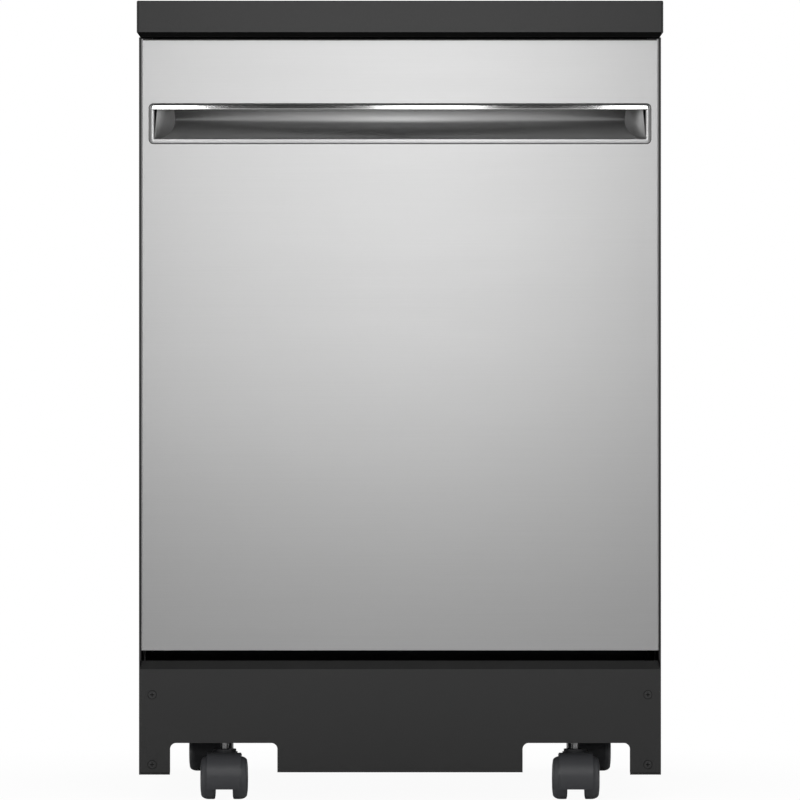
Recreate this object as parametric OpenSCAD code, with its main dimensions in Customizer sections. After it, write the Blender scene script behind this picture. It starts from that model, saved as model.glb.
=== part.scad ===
// Portable dishwasher on wheels. Millimetres, +Z up, front towards -Y.
// Origin: on the floor, under the middle of the worktop.

/* [Overall] */
// Width of the worktop, the widest piece
overall_w = 610; // [590:1:680]
// Depth of the worktop, front to back
overall_d = 648; // [630:1:720]
// Height of the worktop's upper face above the floor
overall_h = 927; // [900:1:990]

/* [Worktop] */
// Thickness of the worktop
worktop_t = 41.5; // [30:0.5:50]
// How far the worktop stands out past each side panel
side_overhang = 2; // [1:0.5:8]
// How far the worktop stands out in front of the door
front_overhang = 16; // [8:0.5:24]
// How far the worktop stands out behind the back panel
back_overhang = 24; // [20:0.5:34]
// Radius of the worktop's upright corners
worktop_corner_r = 3; // [1:0.5:12]
// Height of the slanted edge under the worktop
worktop_bevel_h = 5; // [2:0.5:10]
// How far the slanted edge runs in under the worktop
worktop_bevel_in = 3.5; // [1:0.5:8]

/* [Cabinet] */
// Thickness of the steel sheet
sheet = 1.2; // [0.8:0.1:1.6]
// Height of the side panels' lower edge above the floor
side_bottom_z = 29.5; // [20:0.5:40]
// Width of the folded edge at the front of each side panel
hem_w = 2.3; // [2:0.1:3]
// Depth of that folded edge
hem_d = 14; // [8:0.5:16]
// Width of the side panels' flanges at the back and the top
side_flange_w = 15; // [10:1:20]

/* [Door] */
// Gap between the door and the side panel's folded edge
door_side_gap = 0.5; // [0.3:0.1:1]
// Gap between the door and the worktop
door_top_gap = 2.1; // [1.5:0.1:5]
// Gap between the door and the toe panel
door_bottom_gap = 12.4; // [12:0.1:20]
// Thickness of the door, from its front to the face that meets the gasket
door_t = 52; // [50:0.5:56]
// Outer radius of the bend along the door's upright edges
door_edge_r = 1.8; // [1.6:0.1:4]
// Thickness of the moulded inner door
liner_t = 3; // [2:0.25:4]
// How far the inner door's field lies in front of its rim
liner_dish = 19; // [17:0.5:20]

/* [Handle] */
// Height of the handle's trim ring
handle_h = 46; // [40:0.5:60]
// Distance from the door's top edge to the trim ring
handle_drop = 75.2; // [60:0.5:110]
// Distance from each side of the door to the trim ring
handle_side = 9.2; // [6:0.2:60]
// Width of the trim ring at its sides
trim_w = 6; // [4:0.5:8]
// Height of the trim ring's polished upper bar
trim_bar_h = 6.7; // [5:0.1:9]
// How far the trim ring stands in front of the door
trim_proud = 1.4; // [0.8:0.1:3]
// Depth of the finger pocket behind the door's front
pocket_depth = 30; // [24:0.5:32]
// Radius of the pocket's curved floor
pocket_floor_r = 20; // [12:0.5:22]
// How far the pocket's ends slant in towards the back
pocket_end_slant = 23; // [5:1:30]

/* [Toe panel] */
// Height of the toe panel's upper edge above the floor
toe_top_z = 161.6; // [158:0.2:175]
// Height of the toe panel's lower edge above the floor
toe_bottom_z = 32.3; // [28:0.2:45]
// Height of the sloped flange along the toe panel's top
toe_slope_h = 9.6; // [4:0.2:12]
// How far that flange slopes back
toe_slope_d = 8; // [4:0.2:9]
// Width of each notch in the toe panel, where a caster swivels
notch_w = 124.5; // [115:0.5:140]
// Height of the notches' upper edge above the floor
notch_top_z = 66.3; // [64:0.1:70]
// Radius of the notches' upper corners
notch_r = 7; // [3:0.5:12]

/* [Casters] */
// Diameter of the caster wheels
wheel_d = 50; // [46:0.5:52]
// Width of each of the two wheels of a caster
wheel_w = 17.5; // [12:0.5:20]
// Gap between the two wheels of a caster
wheel_gap = 20.4; // [20:0.2:24]
// Distance from the swivel axis to the wheels' axis
caster_trail = 18; // [16:0.5:20]
// Diameter of the threaded stem
stem_d = 9.5; // [8:0.1:10]
// Diameter of the wheels' axle
axle_d = 6; // [4:0.1:8]
// Distance from the cabinet's side to a front caster's stem
front_caster_in = 98.4; // [90:0.2:104]
// Distance from the cabinet's side to a back caster's stem
back_caster_in = 66.6; // [60:0.2:90]

/* [Hinge] */
// Height of the hinge pins above the door's lower edge
hinge_up = 31; // [29:0.5:32]
// Distance of the hinge pins behind the door's front
hinge_back = 40; // [38:0.5:41]
// Diameter of the hinge pins
hinge_pin_d = 8; // [6:0.1:9]

/* [Tub] */
// Wall thickness of the tub
tub_wall = 3.5; // [2.5:0.25:4]
// Space between the tub's side and the cabinet's outer side
tub_side_gap = 29.5; // [27:0.5:40]
// Space between the tub's roof and the worktop
tub_roof_gap = 18; // [14:0.5:30]
// Space between the tub's back and the back panel
tub_back_gap = 38.5; // [30:0.5:50]
// Width of the gasket
gasket_w = 8; // [6:0.5:9]

/* [Racks] */
// Thickness of the racks' wires
wire = 3.2; // [2.5:0.1:4]
// Height of the upper rack
upper_rack_h = 115; // [80:1:130]
// Height of the lower rack
lower_rack_h = 130; // [100:1:150]
// Height of the upper rack's underside above the tub floor
upper_rack_up = 353; // [330:1:370]
// Space between a rack and the tub wall
rack_side_gap = 20; // [19:0.5:30]
// Radius of the lower rack's wheels
rack_wheel_r = 17; // [14:0.5:17.5]
// Number of places for plates along each row of tines
tine_count = 12; // [6:1:16]

/* [Washing] */
// Diameter of the sump
sump_d = 190; // [180:1:200]
// Diameter of the ring of the heating element
heater_ring_d = 410; // [380:1:420]
// Diameter of the heating element's tube
heater_tube_d = 8; // [6:0.5:9]
// Length of the lower spray arm, tip to tip
lower_arm_l = 430; // [360:2:436]
// Length of the middle spray arm, tip to tip
middle_arm_l = 420; // [340:2:440]
// Diameter of the fine filter
filter_d = 60; // [50:1:64]

/* [Controls] */
// Length of each control button
button_w = 22; // [14:0.5:26]
// Width of each control button, front to back
button_d = 12; // [8:0.5:14]
// Distance from one button's middle to the next
button_pitch = 34; // [30:0.5:40]
// How far a button moves when it is pressed
button_travel = 1; // [0.5:0.1:1.2]

/* [Hidden] */
$fn = 48;
eps = 0.01; // overlap of a cutting solid past the face that it cuts

// Cabinet
cab_w = overall_w - 2*side_overhang;
cab_x = cab_w/2; // outer face of a side panel
in_x = cab_x - sheet; // inner face of a side panel
door_y = -overall_d/2 + front_overhang; // front of the door
toe_y = door_y + 1; // front of the toe panel
cab_y = toe_y + sheet; // front of the side panels
back_y = overall_d/2 - back_overhang; // outer face of the back panel
worktop_z = overall_h - worktop_t; // underside of the worktop
hem_x = cab_x - hem_w; // inner face of the folded edge

// Door
door_x = hem_x - door_side_gap;
door_top = worktop_z - door_top_gap;
door_bottom = toe_top_z + door_bottom_gap;
door_in_x = door_x - sheet;
hinge_y = door_y + hinge_back;
hinge_z = door_bottom + hinge_up;
liner_y = door_y + door_t; // face of the inner door that meets the gasket
field_y = liner_y - liner_dish; // face of the inner door's field

// Tub
tub_x = cab_x - tub_side_gap; // outer side
tub_in_x = tub_x - tub_wall;
tub_lip_y = liner_y + 4; // front edge
tub_in_back = back_y - sheet - tub_back_gap - tub_wall;
tub_bottom = hinge_z + 13.5;
tub_floor = tub_bottom + tub_wall;
tub_top = worktop_z - tub_roof_gap;
tub_roof = tub_top - tub_wall;
flange_y = tub_lip_y + 5; // face that the gasket sits on
gasket_x = tub_x + 0.5; // inner side of the gasket
gasket_top = tub_top + 0.5 + gasket_w;
liner_x = gasket_x + gasket_w + 4; // side of the inner door's rim
dish_x = tub_in_x - 15; // side of the inner door's field
dish_low = tub_floor + 14;

// Base frame
base_z = 72; // underside of the base frame's floor
base_t = 2;
base_floor = base_z + base_t;
base_h = 75;
post_h = 12; // height of the bosses round the caster stems
base_front = cab_y + hem_d + 2;
base_back = back_y - 2*sheet;
base_bay_w = 96.8; // width of the base's floor on each side of its opening
base_open_x = in_x - base_bay_w;
base_open_front = base_front + 100;
base_open_back = base_back - 97.6;
shield_y = hinge_y + 65; // splash shield behind the swing of the door's lower edge

// Sump and spray arms
wash_y = 20; // spray arms and sump turn about this line
sump_r = sump_d/2;
sump_h = 85;
sump_floor = tub_bottom - sump_h;
filter_x = 45;
filter_y = wash_y + 30;
lower_arm_z = tub_floor + 17;
pump_z = sump_floor + 24;
volute_r = 50;
drain_volute_r = 30;
wash_outlet_z = pump_z + volute_r - 12.5;
drain_outlet_z = pump_z + drain_volute_r - 12.5;

// Racks
rack_x = tub_in_x - rack_side_gap;
rack_front = tub_lip_y + 20;
upper_back = tub_in_back - 36;
lower_front = tub_lip_y + 11;
lower_back = tub_in_back - 33;
upper_z = tub_floor + upper_rack_up;
lower_z = tub_floor + 40;
rack_axle_z = tub_floor + rack_wheel_r + 0.3;
rail_z = upper_z + 77;
rail_h = 24;
slide_gap = 0.5; // clearance of the rack's slides in their rails

// Casters
hood_w = 2*wheel_w + 4.4;
hood_in_r = wheel_d/2 + 1;
hood_r = hood_in_r + 3;
hood_top = wheel_d/2 + hood_r;
collar_top = hood_top + 3.5;
front_stem = [cab_x - front_caster_in, door_y + 38];
back_stem = [cab_x - back_caster_in, back_y - 54];
turn_gap = 0.05; // radial clearance of pins in their bores
weld_gap = 0.05; // joint between pieces of a node that are welded, clipped or bolted together

// Handle
trim_x = door_x - handle_side;
trim_top = door_top - handle_drop;
trim_bottom = trim_top - handle_h;
grip_x = trim_x - trim_w; // half width of the handle's mouth
grip_top = trim_top - trim_bar_h;
grip_bottom = trim_bottom + trim_w - 0.3;
pocket_y = door_y + pocket_depth; // back wall of the pocket
pocket_wall = 1.5;
pocket_undercut = 6; // how far the pocket reaches up behind the bar

// Controls
console_top = door_top - sheet;
console_t = 2;
console_front = door_y + 7;
console_back = liner_y - liner_t - 3.3;
console_low = console_top - 32;
console_x = door_in_x - 0.5;
button_x = 62; // middle of the first button
button_y = door_y + 27;
button_gap = 0.3;
BUTTONS = ["start_button", "cycle_button", "sanitize_button", "heated_dry_button"];
board_z = console_top - 14;
latch_z = console_top - 5.7; // underside of the strike
latch_gap = 0.5; // clearance under the strike when the door is free
pawl_y = door_y + 17; // axis of the latch hook

// ---- Shared shapes ----

// A block between two corners
module block(a, b) {
    translate(a) cube(b - a);
}

// Its children on both sides of the object's middle plane
module both_sides() {
    children();
    mirror([1, 0, 0]) children();
}

// A rod along X from x0 to x1
module rod_x(r, x0, x1, y, z) {
    translate([x0, y, z]) rotate([0, 90, 0]) cylinder(r = r, h = x1 - x0);
}

// A rod along Y from y0 to y1
module rod_y(r, y0, y1, x, z) {
    translate([x, y0, z]) rotate([-90, 0, 0]) cylinder(r = r, h = y1 - y0);
}

// A rod along Z from z0 to z1
module rod_z(r, z0, z1, x, y) {
    translate([x, y, z0]) cylinder(r = r, h = z1 - z0);
}

// A ring about Z
module ring_z(r_out, r_in, z0, z1, x, y) {
    translate([x, y, z0]) difference() {
        cylinder(r = r_out, h = z1 - z0);
        translate([0, 0, -1]) cylinder(r = r_in, h = z1 - z0 + 2);
    }
}

// A rectangle from a to b with rounded corners
module round_rect(a, b, r) {
    translate([a.x + r, a.y]) square([b.x - a.x - 2*r, b.y - a.y]);
    translate([a.x, a.y + r]) square([b.x - a.x, b.y - a.y - 2*r]);
    for (x = [a.x + r, b.x - r], y = [a.y + r, b.y - r]) translate([x, y]) circle(r = r);
}

// Its flat child drawn in X and Z, from y0 back to y1
module front_plate(y0, y1) {
    translate([0, y1, 0]) rotate([90, 0, 0]) linear_extrude(y1 - y0) children();
}

// Its flat child drawn in Y and Z, from x0 to x1
module side_plate(x0, x1) {
    translate([x0, 0, 0]) rotate([90, 0, 90]) linear_extrude(x1 - x0) children();
}

// A flat grid of square wires on a w by h rectangle, with nx by ny openings
module grid(w, h, nx, ny) {
    for (i = [0:nx]) translate([i*(w - wire)/nx, 0]) square([wire, h]);
    for (j = [0:ny]) translate([0, j*(h - wire)/ny]) square([w, wire]);
}

// ---- Cabinet ----

module worktop() {
    w = overall_w/2;
    d = overall_d/2;
    run_in = worktop_bevel_in;
    low = worktop_z + worktop_bevel_h;
    edge = 1.2; // small bevel along the upper edge
    color("#3c3c3e") intersection() {
        translate([0, 0, worktop_z]) linear_extrude(worktop_t)
            round_rect([-w, -d], [w, d], worktop_corner_r);
        front_plate(-d - 1, d + 1) polygon([[-w + run_in, worktop_z], [w - run_in, worktop_z],
            [w, low], [w, overall_h - edge], [w - edge, overall_h], [-w + edge, overall_h],
            [-w, overall_h - edge], [-w, low]]);
        side_plate(-w - 1, w + 1) polygon([[-d + run_in, worktop_z], [d - run_in, worktop_z],
            [d, low], [d, overall_h - edge], [d - edge, overall_h], [-d + edge, overall_h],
            [-d, overall_h - edge], [-d, low]]);
    }
}

// The toe panel's screws sit at these places, right side
TOE_SCREWS = [[cab_x - 15.3, toe_bottom_z + 9], [cab_x - 15.3, toe_top_z - 39.2]];
screw_d = 4.2;

module side_panel() {
    toe_flange_x = notch_x1 + 0.3;
    toe_flange_top = door_bottom - 26;
    color("#2b2b2c") difference() {
        union() {
            block([in_x, cab_y, side_bottom_z], [cab_x, back_y, worktop_z]);
            block([hem_x, cab_y, toe_top_z + 0.4], [cab_x, cab_y + hem_d, worktop_z]);
            block([toe_flange_x, cab_y, side_bottom_z], [cab_x, cab_y + sheet, toe_flange_top]);
            block([cab_x - side_flange_w, base_back, side_bottom_z],
                [cab_x, back_y - sheet, worktop_z]);
            block([cab_x - side_flange_w, cab_y + hem_d, worktop_z - sheet],
                [cab_x, back_y - sheet, worktop_z]);
        }
        for (s = TOE_SCREWS) rod_y(screw_d/2 + 0.1, cab_y - 1, cab_y + sheet + 1, s.x, s.y);
        block([cab_x - side_flange_w - 1, back_y - sheet, side_bottom_z - 1],
            [in_x + eps, back_y + 1, worktop_z + 1]);
    }
}

module right_side_panel() { side_panel(); }

module left_side_panel() { mirror([1, 0, 0]) side_panel(); }

cord_gland = [in_x - 100, 120]; // x and z
hose_gland = [-in_x + 100, 140];
gland_r = 11;
hose_gland_r = 19;

module back_panel() {
    bead_z = [260, 480, 700];
    low = 60;
    x = in_x - 0.3;
    color("#4a4b4d") difference() {
        union() {
            block([-x, back_y - sheet, low], [x, back_y, worktop_z - 0.3]);
            for (z = bead_z) block([-x + 60, back_y - eps, z], [x - 60, back_y + 2, z + 14]);
        }
        for (z = bead_z) block([-x + 61, back_y - sheet - 1, z + 1], [x - 61, back_y + 1, z + 13]);
        rod_y(gland_r, back_y - 5, back_y + 5, cord_gland.x, cord_gland.y);
        rod_y(hose_gland_r, back_y - 5, back_y + 5, hose_gland.x, hose_gland.y);
    }
}

// A tray welded from strips round the base's opening, with walls, rims and caster bosses
module base_frame() {
    rim_h = 10;
    post_r = 12;
    wall_top = base_z + base_h;
    x = in_x - base_t - weld_gap; // side of the floor, inside the walls
    front = base_front + base_t + weld_gap;
    back = base_back - base_t - weld_gap;
    color("#37383a") {
        block([-in_x, base_front, base_z], [in_x, base_front + base_t, wall_top]);
        difference() {
            block([-in_x, base_back - base_t, base_z], [in_x, base_back, wall_top]);
            rod_y(gland_r + 1, base_back - 5, base_back + 5, cord_gland.x, cord_gland.y);
            rod_y(hose_gland_r + 1, base_back - 5, base_back + 5, hose_gland.x, hose_gland.y);
        }
        both_sides() {
            block([in_x - base_t, front, base_z], [in_x, back, wall_top]);
            block([base_open_x, base_open_front + weld_gap, base_z],
                [x, base_open_back - weld_gap, base_floor]);
            block([base_open_x, base_open_front, base_floor + weld_gap],
                [base_open_x + base_t, base_open_back, base_floor + rim_h]);
            for (s = [front_stem, back_stem])
                ring_z(post_r, stem_d/2 + 0.1, base_floor + weld_gap, base_floor + post_h, s.x, s.y);
        }
        difference() {
            union() {
                block([-x, front, base_z], [x, base_open_front, base_floor]);
                block([-x, base_open_back, base_z], [x, back, base_floor]);
            }
            both_sides() for (s = [front_stem, back_stem])
                rod_z(stem_d/2 + 0.1, base_z - 1, base_floor + 1, s.x, s.y);
        }
        // Splash shield
        block([-x, shield_y, base_floor + weld_gap], [x, shield_y + base_t, tub_bottom - 0.3]);
    }
}

notch_mid = front_stem.x; // middle of a notch
notch_x0 = notch_mid - notch_w/2;
notch_x1 = notch_mid + notch_w/2;

module toe_panel() {
    x = cab_x - 0.5;
    slope_x = in_x - 0.1;
    slope_z = toe_top_z - toe_slope_h;
    back = toe_y + sheet;
    lip_d = 8.8; // depth of the return along a notch's upper edge
    color("#333334") difference() {
        union() {
            front_plate(toe_y, back) difference() {
                translate([-x, toe_bottom_z]) square([2*x, slope_z - toe_bottom_z + eps]);
                for (side = [-1, 1]) translate([side*notch_mid, 0])
                    round_rect([-notch_w/2, -notch_r - 20], [notch_w/2, notch_top_z], notch_r);
            }
            intersection() {
                side_plate(-x, x) polygon([[toe_y, slope_z], [toe_y + toe_slope_d, toe_top_z],
                    [toe_y + toe_slope_d + sheet, toe_top_z], [back, slope_z]]);
                front_plate(toe_y - 1, toe_y + 30) polygon([[-slope_x, slope_z],
                    [slope_x, slope_z], [slope_x - 1.7, toe_top_z], [-slope_x + 1.7, toe_top_z]]);
            }
            both_sides() block([notch_x0 + notch_r, back - eps, notch_top_z],
                [notch_x1 - notch_r, back + lip_d, notch_top_z + sheet]);
        }
        both_sides() for (s = TOE_SCREWS)
            rod_y(screw_d/2 + 0.1, toe_y - 1, back + 1, s.x, s.y);
    }
}

module toe_panel_screws() {
    head_r = 4.5;
    head_h = 2;
    color("#4a4a4b") both_sides() for (s = TOE_SCREWS) difference() {
        union() {
            rod_y(screw_d/2, toe_y - 1, cab_y + 8, s.x, s.y);
            rod_y(head_r - 0.8, toe_y - head_h, toe_y, s.x, s.y);
            rod_y(head_r, toe_y - head_h/2, toe_y, s.x, s.y);
        }
        for (a = [0, 90]) translate([s.x, toe_y - head_h, s.y]) rotate([0, a, 0])
            cube([0.9, 2.4, 5], center = true);
    }
}

// ---- Casters ----

nut_r = 8.5;
nut_h = 5.3;

module caster_stems() {
    color("#b9bcbe") both_sides() for (s = [front_stem, back_stem]) {
        rod_z(stem_d/2, wheel_d/2 + 17, base_floor + 26, s.x, s.y);
        for (z = [base_z - nut_h, base_floor + post_h]) translate([s.x, s.y, z]) difference() {
            cylinder(r = nut_r, h = nut_h, $fn = 6);
            translate([0, 0, -1]) cylinder(r = stem_d/2 + turn_gap, h = nut_h + 2);
        }
    }
}

// A caster's hood with its axle. The stem's axis is Z, and the axle lies in front of it.
module hood() {
    axle = [0, -caster_trail, wheel_d/2];
    web_x = wheel_gap/2 - 0.5;
    lip_a = 25; // angle of the hood's front edge below level
    color("#3a3b3d") difference() {
        union() {
            difference() {
                union() {
                    rod_x(hood_r, -hood_w/2, hood_w/2, axle.y, axle.z);
                    block([-hood_w/2, axle.y, axle.z], [hood_w/2, 12, hood_top - 3]);
                    block([-hood_w/2 + 5, axle.y - 4, axle.z], [hood_w/2 - 5, 13, hood_top]);
                }
                rod_x(hood_in_r, -hood_w, hood_w, axle.y, axle.z);
                // Below the front edge and the level of the axle the hood is open
                translate([-hood_w, axle.y, axle.z]) rotate([lip_a, 0, 0])
                    translate([0, -80, -80]) cube([2*hood_w, 80, 80]);
                block([-hood_w, axle.y - eps, -10], [hood_w, 60, axle.z - 2]);
            }
            rod_z(13.5, hood_top - 1, collar_top, 0, 0);
            rod_z(web_x, axle.z + 2, hood_top, 0, 0);
            rod_x(8, -4, 4, axle.y, axle.z);
            intersection() {
                rod_x(hood_in_r + 1, -3, 3, axle.y, axle.z);
                block([-3, axle.y - 6, axle.z], [3, 12, hood_top]);
            }
        }
        rod_z(stem_d/2 + turn_gap, 0, collar_top + 1, 0, 0);
        rod_x(axle_d/2 + turn_gap, -40, 40, axle.y, axle.z);
    }
    color("#b9bcbe") rod_x(axle_d/2, -wheel_gap/2 - wheel_w + 2, wheel_gap/2 + wheel_w - 2,
        axle.y, axle.z);
}

// The two wheels of a caster
module wheels() {
    r = wheel_d/2;
    shoulder = 7;
    bore = axle_d/2 + turn_gap;
    color("#454648") both_sides() translate([wheel_gap/2, -caster_trail, r]) rotate([0, 90, 0])
        rotate_extrude() difference() {
            union() {
                translate([bore, 0]) square([r - shoulder - bore, wheel_w]);
                translate([bore, 0]) square([r - bore, wheel_w - shoulder]);
                translate([r - shoulder, wheel_w - shoulder]) circle(r = shoulder);
            }
            translate([bore + 3, wheel_w - 1.5]) square([8, 3]);
        }
}

module at_caster(right, back) {
    stem = back ? back_stem : front_stem;
    translate([right ? stem.x : -stem.x, stem.y, 0]) children();
}

module caster_hood_front_left() { at_caster(false, false) hood(); }

module caster_hood_front_right() { at_caster(true, false) hood(); }

module caster_hood_back_left() { at_caster(false, true) hood(); }

module caster_hood_back_right() { at_caster(true, true) hood(); }

module caster_wheels_front_left() { at_caster(false, false) wheels(); }

module caster_wheels_front_right() { at_caster(true, false) wheels(); }

module caster_wheels_back_left() { at_caster(false, true) wheels(); }

module caster_wheels_back_right() { at_caster(true, true) wheels(); }

// ---- Tub and what it holds ----

heater_y = 3;
heater_z = tub_floor + 9;
heater_leg_x = 16;
heater_leg_y = heater_y + sqrt(pow(heater_ring_d/2, 2) - pow(heater_leg_x, 2));
float_x = -(tub_in_x - 55);
float_y = tub_lip_y + 62;
float_stem_r = 4;
conduit_x = 15;
conduit_front = tub_in_back - 18;
conduit_low = tub_floor;
hose_r = 11;

module tub() {
    color("#9b9fa2") difference() {
        union() {
            block([-tub_x, tub_lip_y, tub_bottom], [tub_x, tub_in_back + tub_wall, tub_top]);
            block([-in_x + 3, flange_y, tub_bottom], [in_x - 3, flange_y + tub_wall,
                worktop_z - 2.5]);
        }
        block([-tub_in_x, tub_lip_y - 1, tub_floor], [tub_in_x, tub_in_back, tub_roof]);
        rod_z(sump_r - 6, tub_bottom - 1, tub_floor + 1, 0, wash_y);
        for (side = [-1, 1]) rod_z(heater_tube_d/2 + 0.3, tub_bottom - 1, tub_floor + 1,
            side*heater_leg_x, heater_leg_y);
        rod_z(float_stem_r + 0.3, tub_bottom - 1, tub_floor + 1, float_x, float_y);
        rod_z(hose_r - 2, tub_bottom - 1, tub_floor + 1, 0, tub_in_back - 13);
        rod_x(9, -tub_x - 1, -tub_in_x + 1, tub_in_back - 90, tub_floor + 300);
    }
}

module tub_gasket() {
    front = liner_y + 0.3;
    low = tub_floor + 18;
    color("#2a2a2b") {
        both_sides() block([gasket_x, front, low],
            [gasket_x + gasket_w, flange_y, gasket_top - gasket_w - weld_gap]);
        block([-gasket_x - gasket_w, front, gasket_top - gasket_w],
            [gasket_x + gasket_w, flange_y, gasket_top]);
        block([-tub_in_x, front, tub_bottom + 0.5], [tub_in_x, tub_lip_y, tub_floor - 0.2]);
    }
}

port_r = 15; // the sump's port for the wash pump
drain_port_r = 10;

module sump() {
    wall = 3;
    color("#3b3d40") difference() {
        union() {
            rod_z(sump_r, sump_floor, tub_bottom, 0, wash_y);
            rod_z(sump_r + 14, tub_bottom - 3, tub_bottom, 0, wash_y);
            rod_x(port_r + 3, -sump_r - 14, 0, wash_y, pump_z);
            rod_x(drain_port_r + 3, 0, sump_r + 14, wash_y, pump_z);
        }
        rod_z(sump_r - wall, sump_floor + wall, tub_bottom + 1, 0, wash_y);
        rod_x(port_r, -sump_r - 15, 0, wash_y, pump_z);
        rod_x(drain_port_r, 0, sump_r + 15, wash_y, pump_z);
    }
}

module filter_plate() {
    t = 2;
    hole_r = 2.2;
    color("#8c9093") difference() {
        union() {
            rod_z(sump_r - 7, tub_floor - t, tub_floor, 0, wash_y);
            rod_z(sump_r, tub_floor, tub_floor + 1.2, 0, wash_y);
            rod_z(12, tub_floor, lower_arm_z - 1, 0, wash_y);
        }
        rod_z(filter_d/2 + 0.4, tub_floor - 5, tub_floor + 5, filter_x, filter_y);
        rod_z(6.05, tub_floor + 4, lower_arm_z, 0, wash_y);
        for (ring = [1:4], i = [0:9 + 3*ring]) {
            r = 24 + 13*ring;
            a = 360*i/(10 + 3*ring);
            p = [r*cos(a), wash_y + r*sin(a)];
            if (norm(p - [filter_x, filter_y]) > filter_d/2 + 8)
                rod_z(hole_r, tub_floor - 5, tub_floor + 5, p.x, p.y);
        }
    }
}

module fine_filter() {
    r = filter_d/2;
    low = tub_floor - 60;
    color("#6f7276") {
        difference() {
            union() {
                rod_z(r, tub_floor - 6, tub_floor + 4, filter_x, filter_y);
                rod_z(r - 4, low, tub_floor, filter_x, filter_y);
            }
            rod_z(r - 6, low - 1, tub_floor + 1, filter_x, filter_y);
        }
        block([filter_x - r + 8, filter_y - 3, tub_floor + 4], [filter_x + r - 8, filter_y + 3,
            tub_floor + 12]);
    }
}

module heating_element() {
    r = heater_ring_d/2;
    tube = heater_tube_d/2;
    gap_a = 2*asin(heater_leg_x/r);
    color("#8f8a84") {
        translate([0, heater_y, heater_z]) rotate([0, 0, 90 + gap_a/2])
            rotate_extrude(angle = 360 - gap_a, $fn = 96) translate([r, 0]) circle(r = tube);
        for (side = [-1, 1]) {
            rod_z(tube, tub_bottom - 14, heater_z, side*heater_leg_x, heater_leg_y);
            translate([side*heater_leg_x, heater_leg_y, heater_z]) sphere(r = tube + 0.7);
        }
    }
}

module float() {
    color("#54575b") {
        rod_z(18, tub_floor + 0.3, tub_floor + 20, float_x, float_y);
        rod_z(float_stem_r, tub_bottom - 14, tub_floor + 1, float_x, float_y);
    }
}

module water_conduit() {
    roof_tube_z = tub_roof - 9;
    nozzle_y = 10;
    color("#7d8185") difference() {
        union() {
            block([-conduit_x, conduit_front, conduit_low], [conduit_x, tub_in_back - 0.3,
                tub_roof - 0.3]);
            rod_y(8, nozzle_y, conduit_front + 1, 0, roof_tube_z);
            rod_z(24, tub_roof - 22, tub_roof - 14, 0, nozzle_y);
            rod_z(8, tub_roof - 20, tub_roof - 0.3, 0, nozzle_y);
        }
        block([-conduit_x + 2.5, conduit_front + 2.5, conduit_low - 1], [conduit_x - 2.5,
            tub_in_back - 2.8, tub_roof - 3]);
        rod_y(5.5, nozzle_y, conduit_front + 5, 0, roof_tube_z);
        rod_y(9, conduit_front - 1, conduit_front + 5, 0, manifold_z);
    }
}

middle_arm_z = upper_z - 36;
arm_t = 11; // thickness of a spray arm
manifold_z = upper_z - 12; // pipe that feeds the middle spray arm

// A spray arm about Z: a long blade with rounded ends, a hub and nozzles
module spray_arm(length, z, y, up) {
    half_w = 21;
    t = arm_t;
    color("#5d6165") translate([0, y, z]) difference() {
        union() {
            linear_extrude(t) {
                translate([-length/2 + half_w, -half_w])
                    square([length - 2*half_w, 2*half_w]);
                for (side = [-1, 1]) translate([side*(length/2 - half_w), 0])
                    circle(r = half_w);
            }
            cylinder(r = 26, h = t);
            if (!up) cylinder(r = 6, h = t + 6);
        }
        for (i = [1:5], side = [-1, 1])
            translate([side*i*(length/2 - 26)/5, side*(i - 3)*3.4, t - 1.5])
                cylinder(r = 1.6, h = 4);
    }
}

module lower_spray_arm() {
    spray_arm(lower_arm_l, lower_arm_z, wash_y, true);
    color("#5d6165") rod_z(6, tub_floor + 4.5, lower_arm_z + 1, 0, wash_y);
}

module middle_spray_arm() {
    spray_arm(middle_arm_l, middle_arm_z, 0, false);
}

module wash_pump() {
    motor_r = 42;
    x1 = -sump_r - 14;
    x0 = x1 - 26;
    color("#2e3033") difference() {
        union() {
            rod_x(volute_r, x0, x1, wash_y, pump_z);
            rod_x(motor_r, x0 - 84, x0 - weld_gap, wash_y, pump_z);
            rod_y(hose_r, wash_y, wash_y + 66, x0 + 13, wash_outlet_z);
        }
        rod_x(volute_r - 4, x0 + 4, x1 - 4, wash_y, pump_z);
        rod_x(port_r, x1 - 5, x1 + 1, wash_y, pump_z);
        rod_x(3, x0 - 20, x0 + 5, wash_y, pump_z);
        rod_y(hose_r - 3, wash_y + 20, wash_y + 67, x0 + 13, wash_outlet_z);
    }
}

// A pump wheel on its shaft, about X
module impeller(r, x0, x1, shaft_x) {
    color("#c9cccd") {
        difference() {
            union() {
                rod_x(r, x0, x0 + 2.5, wash_y, pump_z);
                rod_x(5, x0, x1, wash_y, pump_z);
                for (i = [0:5]) translate([x0, wash_y, pump_z]) rotate([60*i, 0, 0])
                    block([0, 3, -1], [x1 - x0, r - 1, 1]);
            }
            rod_x(1.4, x0 - 1, x1 + 1, wash_y, pump_z);
        }
        rod_x(2.9, min(x0, shaft_x), x0, wash_y, pump_z);
    }
}

module wash_impeller() {
    x1 = -sump_r - 14 - 6;
    impeller(38, x1 - 14, x1, x1 - 32);
}

module drain_pump() {
    x0 = sump_r + 14;
    color("#2e3033") difference() {
        union() {
            rod_x(drain_volute_r, x0, x0 + 22, wash_y, pump_z);
            rod_x(24, x0 + 22 + weld_gap, x0 + 70, wash_y, pump_z);
            rod_y(hose_r, wash_y, wash_y + 46, x0 + 11, drain_outlet_z);
        }
        rod_x(26, x0 + 3, x0 + 19, wash_y, pump_z);
        rod_x(drain_port_r, x0 - 1, x0 + 4, wash_y, pump_z);
        rod_x(3, x0 + 15, x0 + 40, wash_y, pump_z);
        rod_y(hose_r - 3, wash_y + 15, wash_y + 47, x0 + 11, drain_outlet_z);
    }
}

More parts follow.
